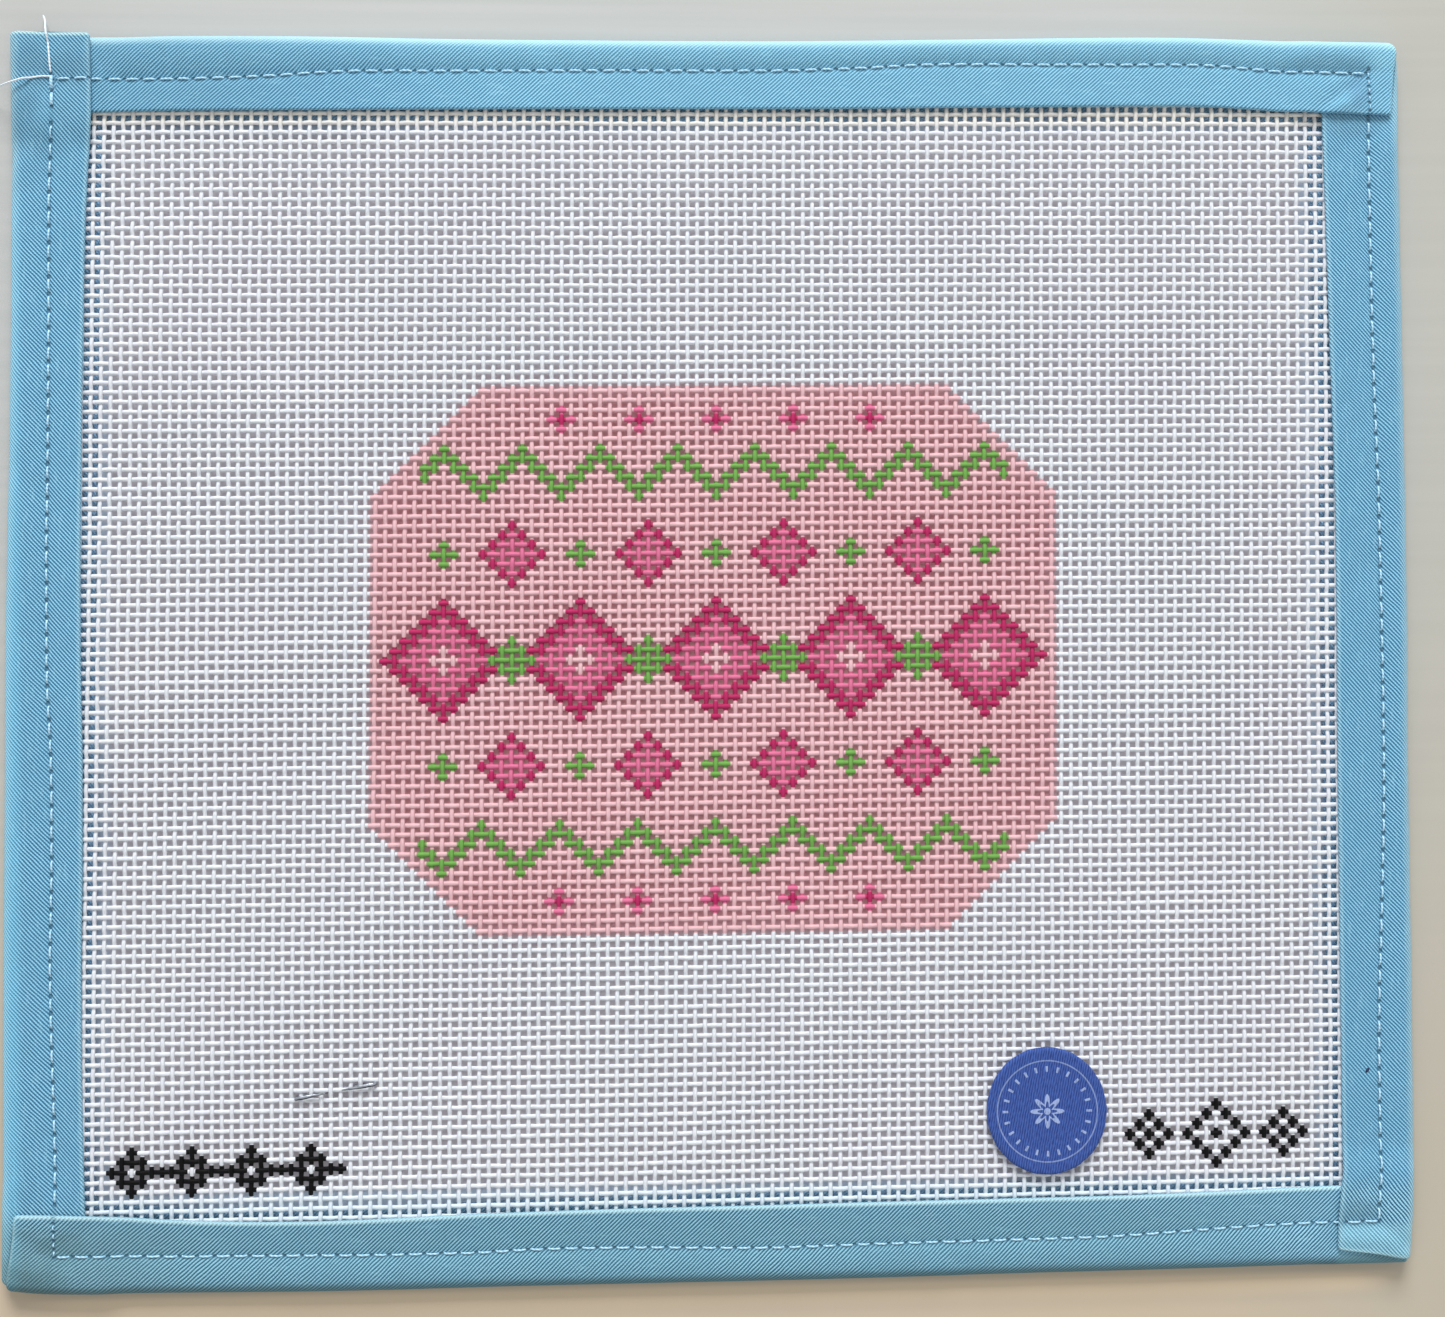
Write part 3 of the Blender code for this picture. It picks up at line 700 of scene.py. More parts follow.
# Soft ridges and troughs, most of them near the corners, where the tape is dragged or
# bunched: the start and end of each in x and y, its width, and its height at most.
creases = [
    (-101.8, 84.6, -90.5, 84.4, 2.3, -0.30),
    (91.5, -84.1, 97.5, -84.2, 1.7, -0.24),
    (98.0, 85.8, 84.0, 86.2, 1.6, -0.18),
    (-95.8, 83.6, -101.8, 71.5, 1.6, -0.30),
    (-96.0, 79.0, -102.0, 66.5, 1.4, 0.21),
    (-98.6, 88.6, -97.4, 84.5, 1.3, -0.18),
    (-90.5, 73.5, -95.0, 79.5, 1.2, -0.15),
    (98.4, 85.3, 91.0, 79.6, 1.0, -0.36),
    (97.6, 82.3, 92.4, 79.6, 0.9, 0.27),
    (101.5, 90.4, 101.4, 79.3, 0.55, -0.33),
    (92.5, 72.0, 97.8, 77.0, 1.2, -0.15),
    (97.0, -84.2, 102.2, -89.0, 0.9, -0.21),
    (91.0, -86.6, 100.0, -87.4, 1.1, 0.24),
    (92.0, -82.0, 96.6, -77.5, 1.2, -0.15),
    (-95.8, -85.4, -101.8, -81.5, 1.3, -0.27),
    (-96.5, -88.0, -102.4, -86.0, 1.2, 0.21),
    (-88.0, -80.3, -95.5, -84.8, 1.5, -0.21),
    (-20.0, 85.9, -26.0, 90.4, 1.3, -0.105),
    (52.0, 86.9, 44.0, 91.0, 1.4, -0.105),
    (-40.0, -86.3, -32.0, -80.9, 1.5, -0.105),
    (30.0, -86.1, 38.0, -91.0, 1.5, -0.105),
    (-96.0, 22.0, -101.5, 29.0, 1.4, -0.12),
    (-95.7, -36.0, -91.5, -43.0, 1.3, -0.105),
    (99.2, 14.0, 93.2, 6.0, 1.4, -0.12)]


def creaseHeight(x, y):
    height = np.zeros_like(x)
    for x0, y0, x1, y1, wide, high in creases:
        runX, runY = x1 - x0, y1 - y0
        length = math.hypot(runX, runY)
        t = ((x - x0) * runX + (y - y0) * runY) / length ** 2
        off = ((x - x0) * runY - (y - y0) * runX) / length
        fade = smooth((t + 0.15) / 0.3) * smooth((1.15 - t) / 0.45)
        height = height + high * fade * np.exp(-(off / wide) ** 2)
    return height


def waviness(x, y):
    # slow unevenness of hand-guided sewing
    return (np.sin(x * 0.21 + 1.3 * np.sin(y * 0.13)) + 0.7 * np.sin(y * 0.26 + x * 0.05 + 2.0)
            + 0.5 * np.sin((x + y) * 0.62 + 0.7) + 0.35 * np.sin((x - y) * 0.95)) / 2.55


def bindStrip(strip, material):
    lap, first, last = strip["lapEnd"], strip["plan"][0][0], strip["plan"][-1][0]
    nearEnd = np.array([0.0, 0.06, 0.16, 0.32, 0.6, 0.95, 1.4])
    count = round((last - first - 4.0) / binding["station"])
    middle = np.linspace(first + 2.0, last - 2.0, count)
    at = np.concatenate([first + nearEnd, middle, last - nearEnd[::-1]])
    fold = readPlan(strip, "fold", at)
    sewn, front, back = [abs(readPlan(strip, key, at) - fold) for key in ("sewn", "front", "back")]
    fromEnd = np.minimum(at - first, last - at)
    front = front - rounding(fromEnd, binding["hemCorner"])
    outline = rounding(at - first, strip["roundLow"]) + rounding(last - at, strip["roundHigh"])

    # one end is lifted over its neighbour, and the other is tucked under one and flatter
    lifted = smooth(1.0 + (at - strip["lapFrom"] + lap * binding["lapLead"]) * lap / binding["lapRamp"])
    tucked = 1.0 - smooth((at - strip["underTo"]) * lap / binding["lapRamp"])
    puff = binding["puff"] * (1.0 - tucked) * (0.25 + 0.75 * smooth(fromEnd / binding["puffReach"]))
    sink, hemRise, backLift = [
        binding[key] * (1.0 - tucked) for key in ("seamSink", "hemRise", "backLift")]
    low = binding["backLow"] + binding["tuckRise"] * tucked
    lowTop = low + binding["leg"] + (binding["tuckLeg"] - binding["leg"]) * tucked
    high = binding["frontLow"] + binding["lapRise"] * lifted
    highTop = high + binding["leg"]
    reach, reachTop, reachIn = [binding[key] for key in ("foldReach", "foldReachTop", "foldReachIn")]
    hem = binding["hemRound"]

    # the section goes round the folded tape; each of its points has its inset from the
    # fold, its height, how much it is face, and how it shrinks at a rounded end
    def swelling(inset):
        # the tape is full between its fold and the sewing, which draws it in
        upTo = np.clip(inset / sewn, 0.0, 1.0)
        past = np.clip((inset - sewn) / (front - sewn), 0.0, 1.0)
        drawn = sink * smooth(upTo * 1.2 - 0.2) * (1.0 - past)
        return puff * np.sin(math.pi * upTo) - drawn + hemRise * past

    def stretch(start, end, steps, heightAt, face, shrink):
        found = []
        for t in np.linspace(0.0, 1.0, steps):
            inset = start * (1 - t) + end * t
            found.append((inset, heightAt(t, inset), face, shrink))
        return found

    def level(bottom, top, up):
        return 0.5 * (bottom + top) + 0.5 * (top - bottom) * up

    def arc(lower, upper, bottom, top, steps, inset, weight):
        found = []
        for k in range(steps + 1):
            turn = math.radians(-90.0 + 180.0 * k / steps)
            out = abs(math.cos(turn)) ** binding["foldSquare"]
            up = math.copysign(abs(math.sin(turn)) ** binding["foldSquare"], math.sin(turn))
            place = inset + (upper if up > 0.0 else lower) * (1.0 - out)
            cover = weight * max(0.0, up)
            height = level(bottom, top, up) + cover * swelling(place)
            found.append((place, height, cover, -weight * up))
        return found

    def hemTurn(inset, bottom, top, angles, weight):
        found = []
        for turn in np.radians(angles):
            up = math.sin(turn)
            place = inset - hem + hem * math.cos(turn)
            found.append((place, level(bottom, top, up), weight * (0.5 + 0.5 * up), -weight * up))
        return found

    # the hem of the back leg is held up against the canvas
    def backBelow(t, inset):
        return low + backLift * smooth(1.0 - t * 1.8)

    def backAbove(t, inset):
        return lowTop + backLift * smooth(t * 1.8 - 0.8)

    section = stretch(back - hem, reach, 6, backBelow, 0.0, 0.3)
    section += arc(reach, reachTop, low, highTop, 14, 0.0, 1.0)[1:]
    section += stretch(reachTop, front - hem, 25, lambda t, inset: highTop + swelling(inset), 1.0, -1.0)[1:]
    hemIndex = len(section) + 1
    section += hemTurn(front, high, highTop + hemRise, (60.0, 20.0, -20.0, -60.0), 1.0)
    section += stretch(front - hem, reachIn, 4, lambda t, inset: high, 0.0, 1.0)
    section += arc(reachIn, reachIn, lowTop, high, 5, binding["leg"] * 0.75, 0.0)[::-1]
    section += stretch(reachIn, back - hem, 4, backAbove, 0.0, -1.0)
    section += hemTurn(back, low + backLift, lowTop + backLift, (45.0, 0.0, -45.0), 0.0)
    inset, height, face, shrink = [
        np.stack([np.broadcast_to(point[k], at.shape) for point in section], axis=1) for k in range(4)]

    nearLow, nearHigh = [1.0 - smooth(away / binding["leanReach"]) for away in (at - first, last - at)]
    lean = (strip["leanLow"] * nearLow + strip["leanHigh"] * nearHigh)[:, None]
    along = at[:, None] + inset / front[:, None] * lean
    # the outer corner of an end is rounded, and more so the nearer to the fold
    squeeze = outline[:, None] * np.clip(1.0 - inset / binding["cornerReach"], 0.0, 1.0)
    across = fold[:, None] + strip["inward"] * (inset + squeeze)
    x, y = (along, across) if strip["side"] == "y" else (across, along)
    relief = waviness(x, y) * binding["waviness"] + creaseHeight(x, y) - seamPress(x, y)
    height = height + face * (1.0 - binding["tuckFlat"] * tucked[:, None]) * relief
    height = height + shrink * rounding(fromEnd, binding["endRound"])[:, None]
    points = np.stack([x, y, np.maximum(height, 0.0)], axis=-1)
    body = newBody(strip["name"] + "_tape", points, material)

    # how the tape runs: millimetres along it, and across it round the fold from its hem
    steps = np.linalg.norm(np.diff(points, axis=1), axis=2)
    run = np.concatenate([np.zeros((len(at), 1)), np.cumsum(steps, axis=1)], axis=1)
    run = (run[:, hemIndex:hemIndex + 1] - run) * strip["ribTurn"]
    store(body.data, "tape", "FLOAT_VECTOR", "POINT", np.stack([along, run, 0.0 * run], axis=-1))
    for side, name in (("x", "sewnUpright"), ("y", "sewnLevel")):
        store(body.data, name, "FLOAT_VECTOR", "POINT", np.stack(sewnFrame(x, y, side), axis=-1))

    # painted highlight and painted shade on the tape's hems, ends and fold, by which way each faces the
    # light; and what of it lies inside the fold or under the canvas, which is painted paler to lift its
    # shade
    hemLine = np.clip(1.0 - abs(inset - front[:, None] + 0.22) / 0.42, 0.0, 1.0)
    endLine = (1.0 - smooth((fromEnd - 0.2) / 0.5))[:, None]
    edge = face * np.maximum(strip["hemPaintedLight"] * hemLine, strip["endPaintedLight"] * endLine)
    edge = edge + strip["rimPaintedLight"] * (face > 0.0) * (1.0 - smooth((inset - 0.3) / 1.6))
    store(body.data, "edge", "FLOAT", "POINT", edge)
    store(body.data, "inner", "FLOAT", "POINT", (face < 0.01) * smooth((inset - 7.0) / 3.0))
    return body


# Painted highlights where the tape bulges toward the light, and darker patches, most of them painted shade
# along the lower binding: each patch comes in from the first to the second x and y, up to its share of its
# shade.
patches = [
    (-60.0, -25.0, 76.0, 82.0, 0.13, (172, 238, 255)),
    (-95.0, -60.0, 85.5, 87.5, 0.08, (172, 238, 255)),
    (97.0, 100.0, 84.0, 88.0, 0.22, (172, 238, 255)),
    (89.5, 91.5, -83.8, -85.5, 0.30, (172, 238, 255)),
    (-99.4, -101.4, 80.0, 62.0, 0.34, (136, 222, 255)),
    (-50.0, -75.0, 66.0, 80.0, 0.16, (92, 134, 140)),
    (104.0, 60.0, -76.0, -84.0, 0.26, (76, 118, 116)),
    (-70.0, -90.0, -78.0, -84.0, 0.22, (96, 114, 102))]

# Painted shade where the tape is bunched at the corners: the middle, half the width and height, and the
# share of a shade.
creaseShade = [
    (-98.3, 86.8, 3.0, 4.5, 0.22, (72, 106, 126)),
    (-99.4, 79.0, 3.2, 5.5, 0.20, (70, 112, 134)),
    (-92.8, 85.9, 4.5, 3.2, 0.20, (62, 92, 112)),
    (97.0, 83.0, 2.4, 3.4, 0.26, (84, 112, 150)),
    (91.5, 86.9, 9.0, 1.8, 0.20, (72, 106, 126)),
    (95.5, 78.4, 6.5, 3.0, 0.22, (88, 122, 138)),
    (-99.8, -89.4, 8.0, 5.0, 0.42, (74, 102, 98)),
    (-94.4, -84.2, 4.5, 3.0, 0.24, (80, 110, 104)),
    (93.6, -82.9, 4.2, 2.6, 0.28, (76, 110, 126)),
    (95.5, -90.8, 9.0, 2.6, 0.60, (72, 108, 112))]


def tapeMaterial():
    material, graph = newMaterial("blueTwill", {
        "Sheen Weight": 0.30, "Sheen Roughness": 0.45, "Specular IOR Level": 0.30,
        "Sheen Tint": tint(190, 225, 240)})
    place, tape = graph.place(), graph.attribute("tape", "Vector")
    edge, inner = graph.attribute("edge", "Fac"), graph.attribute("inner", "Fac")
    x, y = graph.parts(place)[:2]
    along, across = graph.parts(tape)[:2]
    cos, sin = cosAndSin(binding["ribAngle"])
    ribs = (across * cos - along * sin) / binding["ribPitch"] + graph.noise(tape, 0.12, detail=1.0) * 0.9
    wave = graph.swing(ribs * fullTurn)
    yarn = graph.swing((along * cos + across * sin) * (fullTurn / binding["yarnPitch"]) + wave * 1.8)
    fuzz = graph.noise(tape, 3.4, detail=3.0, roughness=0.6)
    slub = graph.noise(graph.vector("MULTIPLY", tape, (0.25, 1.6, 1.0)), 1.1)
    cloud = graph.noise(place, 0.06, detail=3.0)
    lowSide = graph.ramp(y, -77.0, -81.0)    # the ribs stand out more along the lower side
    furrow = graph.mixed(lowSide, tint(50, 109, 146), tint(10, 72, 113))
    ridge = graph.mixed(lowSide, tint(148, 213, 243), tint(172, 232, 253))
    colour = graph.layered(
        graph.mixed(graph.ramp(wave, 0.15, 0.75), furrow, ridge),
        (graph.ramp(yarn * wave, 0.40, 1.0, 0.45), (186, 234, 250)),
        (graph.ramp(fuzz, 0.35, 0.75, 0.30), (94, 152, 182)),
        (graph.ramp(slub, 0.55, 0.75, 0.25), (168, 224, 244)),
        (graph.ramp(cloud, 0.30, 0.70, 0.18), (104, 164, 194)),
        # painted highlight on the folds, hems and ends that face the light, and painted shade on those that
        # face away
        (graph.clamp(edge) * 0.9, (206, 246, 255)),
        (graph.clamp(-edge) * 0.75, (50, 86, 92)),
        # the back leg, seen through the holes under the canvas, painted paler to lift its shade
        (inner * 0.65, (176, 208, 240)))
    for fromX, toX, fromY, toY, most, shade in patches:
        share = graph.ramp(x, fromX, toX) * graph.ramp(y, fromY, toY, most)
        colour = graph.layered(colour, (share, shade))
    for middleX, middleY, halfWide, halfHigh, most, shade in creaseShade:
        offX, offY = (x - middleX) / halfWide, (y - middleY) / halfHigh
        share = graph.ramp(offX * offX + offY * offY, 1.0, 0.0, most)
        colour = graph.layered(colour, (share, shade))

    def needleHoles(name, small, large):
        stitches, away, within = graph.parts(graph.attribute(name, "Vector"))
        off = (graph.math("FRACT", stitches + 0.5) - 0.5) * binding["stitchPitch"]
        gap = graph.math("SQRT", off * off * 0.7 + away * away * 1.6)
        hole = (1.0 - graph.ramp(gap, small, large)) * within
        return hole, (1.0 - graph.ramp(abs(away), 0.05, 0.55)) * within

    holeA, valleyA = needleHoles("sewnUpright", 0.18, 0.42)
    holeB, valleyB = needleHoles("sewnLevel", 0.12, 0.34)
    hole = graph.clamp(holeA + holeB)
    # painted shade along the valleys that the sewing pulls in, and darker still in the needle holes
    colour = graph.layered(
        colour,
        (graph.clamp(valleyA + valleyB) * 0.28, (70, 120, 150)),
        (hole * 0.68, (44, 90, 118)))
    height = wave * 0.8 + yarn * 0.2 + fuzz * 0.30 - hole * 1.5
    graph.finish(colour, 0.70 + fuzz * 0.2 - wave * 0.06, height, 1.0, 0.13)
    return material


blueTwill = tapeMaterial()
tapes = [bindStrip(strip, blueTwill) for strip in strips]
print("bindings folded,", sum(len(t.data.polygons) for t in tapes), "faces")


def surfaceUnder(bodies):
    # finds the top of the given pieces at a place of the plan
    points, faces = [], []
    for body in bodies:
        start = len(points)
        points += [v.co.copy() for v in body.data.vertices]
        faces += [[start + k for k in face.vertices] for face in body.data.polygons]
    tree = BVHTree.FromPolygons(points, faces)

    def top(x, y):
        spot = Vector(((x - planCentre[0]) * mm, (y - planCentre[1]) * mm, 0.02))
        hit = tree.ray_cast(spot, Vector((0.0, 0.0, -1.0)))[0]
        return hit.z / mm if hit else 0.0

    return top


tapeTop = surfaceUnder(tapes)


# The machine stitches along the bindings.

sewing = dict(arch=0.13, sides=6, seed=11, slant=0.05, shortest=0.94, longest=1.05)
levelStitch = dict(share=1.0, shows=0.70, wide=0.30, high=0.22, lift=0.05)
uprightStitch = dict(share=1.0, shows=0.67, wide=0.32, high=0.22, lift=0.05)
shortStitch = dict(share=0.5, shows=0.44, wide=0.25, high=0.20, lift=0.02)

# a second run of stitches locks the thread at the upper left corner
lockStitch = dict(share=1.0, shows=0.72, wide=0.50, high=0.34, lift=0.12)
backTack = dict(strip="binding_left", fromEnd=78.2, toEnd=85.4)


def threadLook(name, light, dark):
    material, graph = newMaterial(name, {"Sheen Weight": 0.25, "Specular IOR Level": 0.4})
    place = graph.place()
    ply = graph.swing(graph.vector("DOT_PRODUCT", place, (9.0, 12.0, 7.0)).other("Value"))
    fuzz = graph.noise(place, 4.0)
    colour = graph.mixed(graph.ramp(ply * 0.6 + fuzz * 0.5, 0.25, 0.80), tint(*dark), tint(*light))
    graph.finish(colour, 0.55 + fuzz * 0.2, ply + fuzz * 0.5, 0.6, 0.04)
    return material


def stitchTree():
    # one machine stitch after another along a line, its ends going down into the cloth
    tree, graph, given, leave = newTree("sewnRow", {
        "Geometry": ("Geometry", None), "Pitch": ("Float", 2.5), "Shows": ("Float", 0.8),
        "Wide": ("Float", 0.3), "High": ("Float", 0.25), "Arch": ("Float", 0.15),
        "Seed": ("Int", 1), "Material": ("Material", None)})

    def anyOf(low, high, seed):
        return graph.add("FunctionNodeRandomValue", {"data_type": "FLOAT"}, {
            2: low, 3: high, "Seed": seed}, output=1)

    path = graph.shape("MeshToCurve", {"Mesh": given["Geometry"]})
    spots = graph.shape("CurveToPoints", {"Curve": path, "Length": given["Pitch"] * mm}, mode="LENGTH")
    facing = graph.add("FunctionNodeAlignRotationToVector", {"axis": "X", "pivot_axis": "AUTO"}, {
        "Vector": spots.other("Tangent")})
    slant = graph.joined(0.0, 0.0, anyOf(-sewing["slant"], sewing["slant"], given["Seed"]))
    turned = graph.add("FunctionNodeRotateRotation", {"rotation_space": "LOCAL"}, {
        "Rotation": facing,
        "Rotate By": graph.add("FunctionNodeEulerToRotation", None, {"Euler": slant})})
    length = anyOf(sewing["shortest"], sewing["longest"], given["Seed"] + 5.0)
    # the stitch itself, along x
    half = given["Pitch"] * given["Shows"] * (0.5 * mm)
    line = graph.shape("CurvePrimitiveLine", {
        "Start": graph.joined(-half, 0.0, 0.0), "End": graph.joined(half, 0.0, 0.0)})
    cut = graph.shape("ResampleCurve", {"Curve": line, "Count": 7}, mode="COUNT")
    fromMiddle = abs(graph.shape("SplineParameter", output="Factor") * 2.0 - 1.0)
    dip = given["Arch"] * mm * (1.0 - graph.math("POWER", fromMiddle, 4.0) * 2.6)
    bent = graph.shape("SetPosition", {"Geometry": cut, "Offset": graph.joined(0.0, 0.0, dip)})
    stitch = ovalTube(graph, bent, sewing["sides"], given["Wide"], given["High"])
    row = graph.shape("InstanceOnPoints", {
        "Points": spots, "Instance": stitch, "Rotation": turned, "Scale": graph.joined(length, 1.0, 1.0)})
    graph.link(realized(graph, row, True, given["Material"]), leave)
    return tree


def sewnRow(name, strip, start, end, look):
    # stitches from one needle hole to another, on the cloth below them
    pitch = stitchPitch(strip) * look["share"]
    first = math.ceil((start - strip["sewFrom"]) / pitch - 0.01)
    last = math.floor((end - strip["sewFrom"]) / pitch + 0.01)
    at = strip["sewFrom"] + pitch * np.linspace(first + 0.5, last - 0.5, 4 * (last - first) - 3)
    sewn = readPlan(strip, "sewn", at)
    plan = zip(at, sewn) if strip["side"] == "y" else zip(sewn, at)
    route = [(x, y, tapeTop(x, y) + look["lift"]) for x, y in plan]
    path = bpy.data.meshes.new(name + "_route")
    path.from_pydata(onPanel(route), [(k, k + 1) for k in range(len(route) - 1)], [])
    return grow(rowTree, name, {
        "Pitch": pitch, "Shows": look["shows"], "Wide": look["wide"], "High": look["high"],
        "Arch": sewing["arch"], "Seed": sewing["seed"], "Material": paleThread}, path)


paleThread = threadLook("paleThread", (202, 238, 252), (156, 208, 234))
whiteThread = threadLook("whiteThread", (250, 253, 255), (220, 236, 244))
rowTree = stitchTree()
seams, locks = [], []
for strip in strips:
    name = strip["name"].replace("binding", "stitching")
    start, end = strip["sewFrom"], strip["sewTo"]
    dotsFrom, dotsTo = max(strip["dotsFrom"], start), min(strip["dotsTo"], end)
    if dotsFrom < dotsTo:
        locks.append(sewnRow(name + "_short", strip, dotsFrom, dotsTo, shortStitch))
        start, end = (start, dotsFrom) if dotsFrom > start else (dotsTo, end)
    if strip["name"] == backTack["strip"]:
        end = backTack["fromEnd"]
        locks.append(sewnRow("stitching_lock", strip, end, backTack["toEnd"], lockStitch))
    seams.append(sewnRow(name, strip, start, end, levelStitch if strip["side"] == "y" else uprightStitch))
print("sewing done,", sum(len(s.data.polygons) for s in seams), "faces")


def tube(name, route, widths, heights, sides, material):
    # a closed tube along a route, its section an oval that stays level
    route = np.asarray(route, float)
    ahead = heading(route)
    side = np.cross((0.0, 0.0, 1.0), ahead)
    flat = np.linalg.norm(side, axis=1)
    for k in range(len(side)):
        if flat[k] < 0.2:                # upright stretches keep the side of the last level one
            side[k] = side[k - 1] if k else (0.0, 1.0, 0.0)
        else:
            side[k] /= flat[k]
    up = np.cross(ahead, side)
    turns = fullTurn * np.arange(sides) / sides
    sideways = 0.5 * np.outer(widths, np.cos(turns))[:, :, None]
    upwards = 0.5 * np.outer(heights, np.sin(turns))[:, :, None]
    rings = route[:, None, :] + side[:, None, :] * sideways + up[:, None, :] * upwards
    return newBody(name, rings, material)


def throughPoints(points, count):
    # a smooth curve through given points
    points = np.asarray(points, float)
    length = np.concatenate([[0.0], np.cumsum(np.linalg.norm(np.diff(points, axis=0), axis=1))])
    slopes = np.gradient(points, length, axis=0)
    at = np.linspace(0.0, length[-1], count)
    k = np.clip(np.searchsorted(length, at) - 1, 0, len(points) - 2)
    span = (length[k + 1] - length[k])[:, None]
    t = ((at - length[k])[:, None]) / span
    return between(t, span, points[k], points[k + 1], slopes[k], slopes[k + 1])


# Loose ends of the sewing thread at the upper left corner. Each starts on the cloth and
# comes down to the table past its edge.
tails = dict(
    wide=0.29, lift=0.14,
    upper=[(-95.40, 85.4), (-95.44, 86.1), (-95.56, 88.3), (-95.69, 89.7)],
    upperEnd=[(-95.80, 90.8, 3.85), (-96.02, 91.76, 3.45), (-96.45, 92.92, 2.2), (-96.90, 93.97, 1.2),
              (-97.34, 94.72, 0.5)],
    side=[(-95.40, 84.77), (-96.15, 84.75), (-97.00, 84.64), (-97.98, 84.41)],
    sideEnd=[(-98.99, 84.09, 4.25), (-100.07, 83.76, 4.3), (-101.30, 83.50, 3.95), (-102.63, 83.35, 3.1),
             (-104.18, 83.29, 2.0), (-105.74, 83.28, 0.9), (-107.15, 83.22, 0.2)])
tailBodies = []
for name in ("upper", "side"):
    route = [(x, y, tapeTop(x, y) + tails["lift"]) for x, y in tails[name]] + tails[name + "End"]
    route = throughPoints(route, 44)
    slim = np.full(len(route), tails["wide"])
    slim[-3:] *= (0.9, 0.75, 0.45)
    route[:, 2] = np.maximum(route[:, 2], 0.5 * tails["wide"])
    tailBodies.append(tube("thread_end_" + name, route, slim, slim, 8, whiteThread))


# The round cloth label.

# Its rings, from the middle of its underside over its rim to the middle of its face, are
# given by how far they are in from the rim and how high.
label = dict(
    x=48.18, y=-67.42, wide=17.6, high=18.5, low=2.22, sides=120,
    rings=((0.22, 0.0), (0.04, 0.06), (0.0, 0.2), (0.0, 0.55), (0.05, 0.72), (0.16, 0.84), (0.34, 0.90),
           (0.62, 0.92), (1.1, 0.90), (2.0, 0.86), (3.6, 0.84), (5.6, 0.83), (7.4, 0.83), (8.4, 0.83)),
    ribAngle=79.0, ribPitch=0.36, ringRadius=7.35, ringWide=0.10, tickFrom=5.75, tickTo=6.55, ticks=24.0,
    starRadius=2.5, starPoints=8.0)


def labelBody(material):
    turns = fullTurn * np.arange(label["sides"]) / label["sides"]
    fray = 0.03 * np.sin(turns * 17.0 + 1.0) + 0.02 * np.sin(turns * 41.0)
    rings = []
    for inset, height in label["rings"]:
        x = label["x"] + (0.5 * label["wide"] - inset + fray) * np.cos(turns)
        y = label["y"] + (0.5 * label["high"] - inset + fray) * np.sin(turns)
        wave = 0.05 * np.sin(x * 0.5) * np.sin(y * 0.4) * (height > 0.5)
        rings.append(np.stack([x, y, label["low"] + height + wave], axis=-1))
    return newBody("label_cloth", np.array(rings), material)


def labelMaterial():
    material, graph = newMaterial("labelSatin", {
        "Sheen Weight": 0.35, "Sheen Roughness": 0.4, "Specular IOR Level": 0.4,
        "Sheen Tint": tint(150, 170, 225)})
    place = graph.place()
    middle = (label["x"] - planCentre[0], label["y"] - planCentre[1], 0.0)
    x, y = graph.parts(graph.vector("SUBTRACT", place, middle))[:2]
    radius, turn = graph.math("SQRT", x * x + y * y), graph.math("ARCTAN2", y, x)
    # fine ribs that run almost upright, with short floats along them
    cos, sin = cosAndSin(label["ribAngle"])
    run, rise = x * cos + y * sin, x * sin - y * cos
    floats = graph.noise(graph.joined(run * 1.3, rise * 5.0, 0.0), 1.0)
    cross = graph.swing(rise * (fullTurn / label["ribPitch"]) + graph.noise(place, 0.8) * 4.0)
    tone = graph.clamp(floats * 0.8 + cross * 0.34 - 0.08)
    blue = graph.mixed(graph.ramp(tone, 0.22, 0.76), tint(28, 54, 126), tint(70, 102, 178))

    # a thin ring, a circle of ticks and a small star, woven in pale thread
    def within(value, low, high, soft):
        return graph.ramp(value, low - soft, low + soft) * graph.ramp(value, high + soft, high - soft)

    ringIn, ringOut = [label["ringRadius"] + side * label["ringWide"] for side in (-1, 1)]
    ring = within(radius, ringIn, ringOut, 0.04)
    tick = graph.ramp(graph.math("COSINE", turn * label["ticks"]), 0.70, 0.86)
    tick = tick * within(radius, label["tickFrom"], label["tickTo"], 0.08)
    petal = label["starRadius"] * (graph.math("COSINE", turn * label["starPoints"]) * 0.28 + 0.72)
    star = within(radius, petal * 0.58, petal, 0.07)
    seed = 1.0 - graph.ramp(radius, 0.42, 0.56)
    pale = graph.clamp(ring * 0.6 + tick + star + seed)
    pale = pale * graph.ramp(floats + cross * 0.2, 0.30, 0.60, 0.9, 0.45)
    colour = graph.layered(blue, (pale, (168, 186, 228)))
    graph.finish(colour, 0.62 + floats * 0.2, floats + cross * 0.6 + pale * 0.5, 0.8, 0.10)
    return material


labelCloth = labelBody(labelMaterial())


# The staple through the canvas.

staple = dict(x=-55.18, y=-62.80, span=11.6, turn=9.6, wireWide=0.56, wireHigh=0.42, square=0.7,
              crownLow=1.02, tipHigh=2.50, bend=0.55, clinchLeft=4.4, clinchRight=4.8)
stapleCos, stapleSin = cosAndSin(staple["turn"])


def stapleMaterial():
    material, graph = newMaterial("stapleSteel", {"Metallic": 1.0, "Anisotropic": 0.3})
    place = graph.place()
    x, y = graph.parts(place)[:2]
    scratch = graph.noise(graph.vector("MULTIPLY", place, (1.2, 9.0, 4.0)), 1.0, detail=3.0)
    across = ((y - staple["y"] + planCentre[1]) * stapleCos
              - (x - staple["x"] + planCentre[0]) * stapleSin)
    colour = graph.layered(
        graph.mixed(graph.ramp(scratch, 0.30, 0.70), tint(150, 154, 162), tint(240, 243, 250)),
        (graph.ramp(graph.noise(place, 0.9), 0.50, 0.70, 0.35), (90, 92, 100)),
        (graph.ramp(across, 0.0, -0.13, 0.95), (34, 38, 48)))    # painted shade along its lower side
    graph.finish(colour, 0.22 + scratch * 0.22, scratch, 0.4, 0.03)
    return material


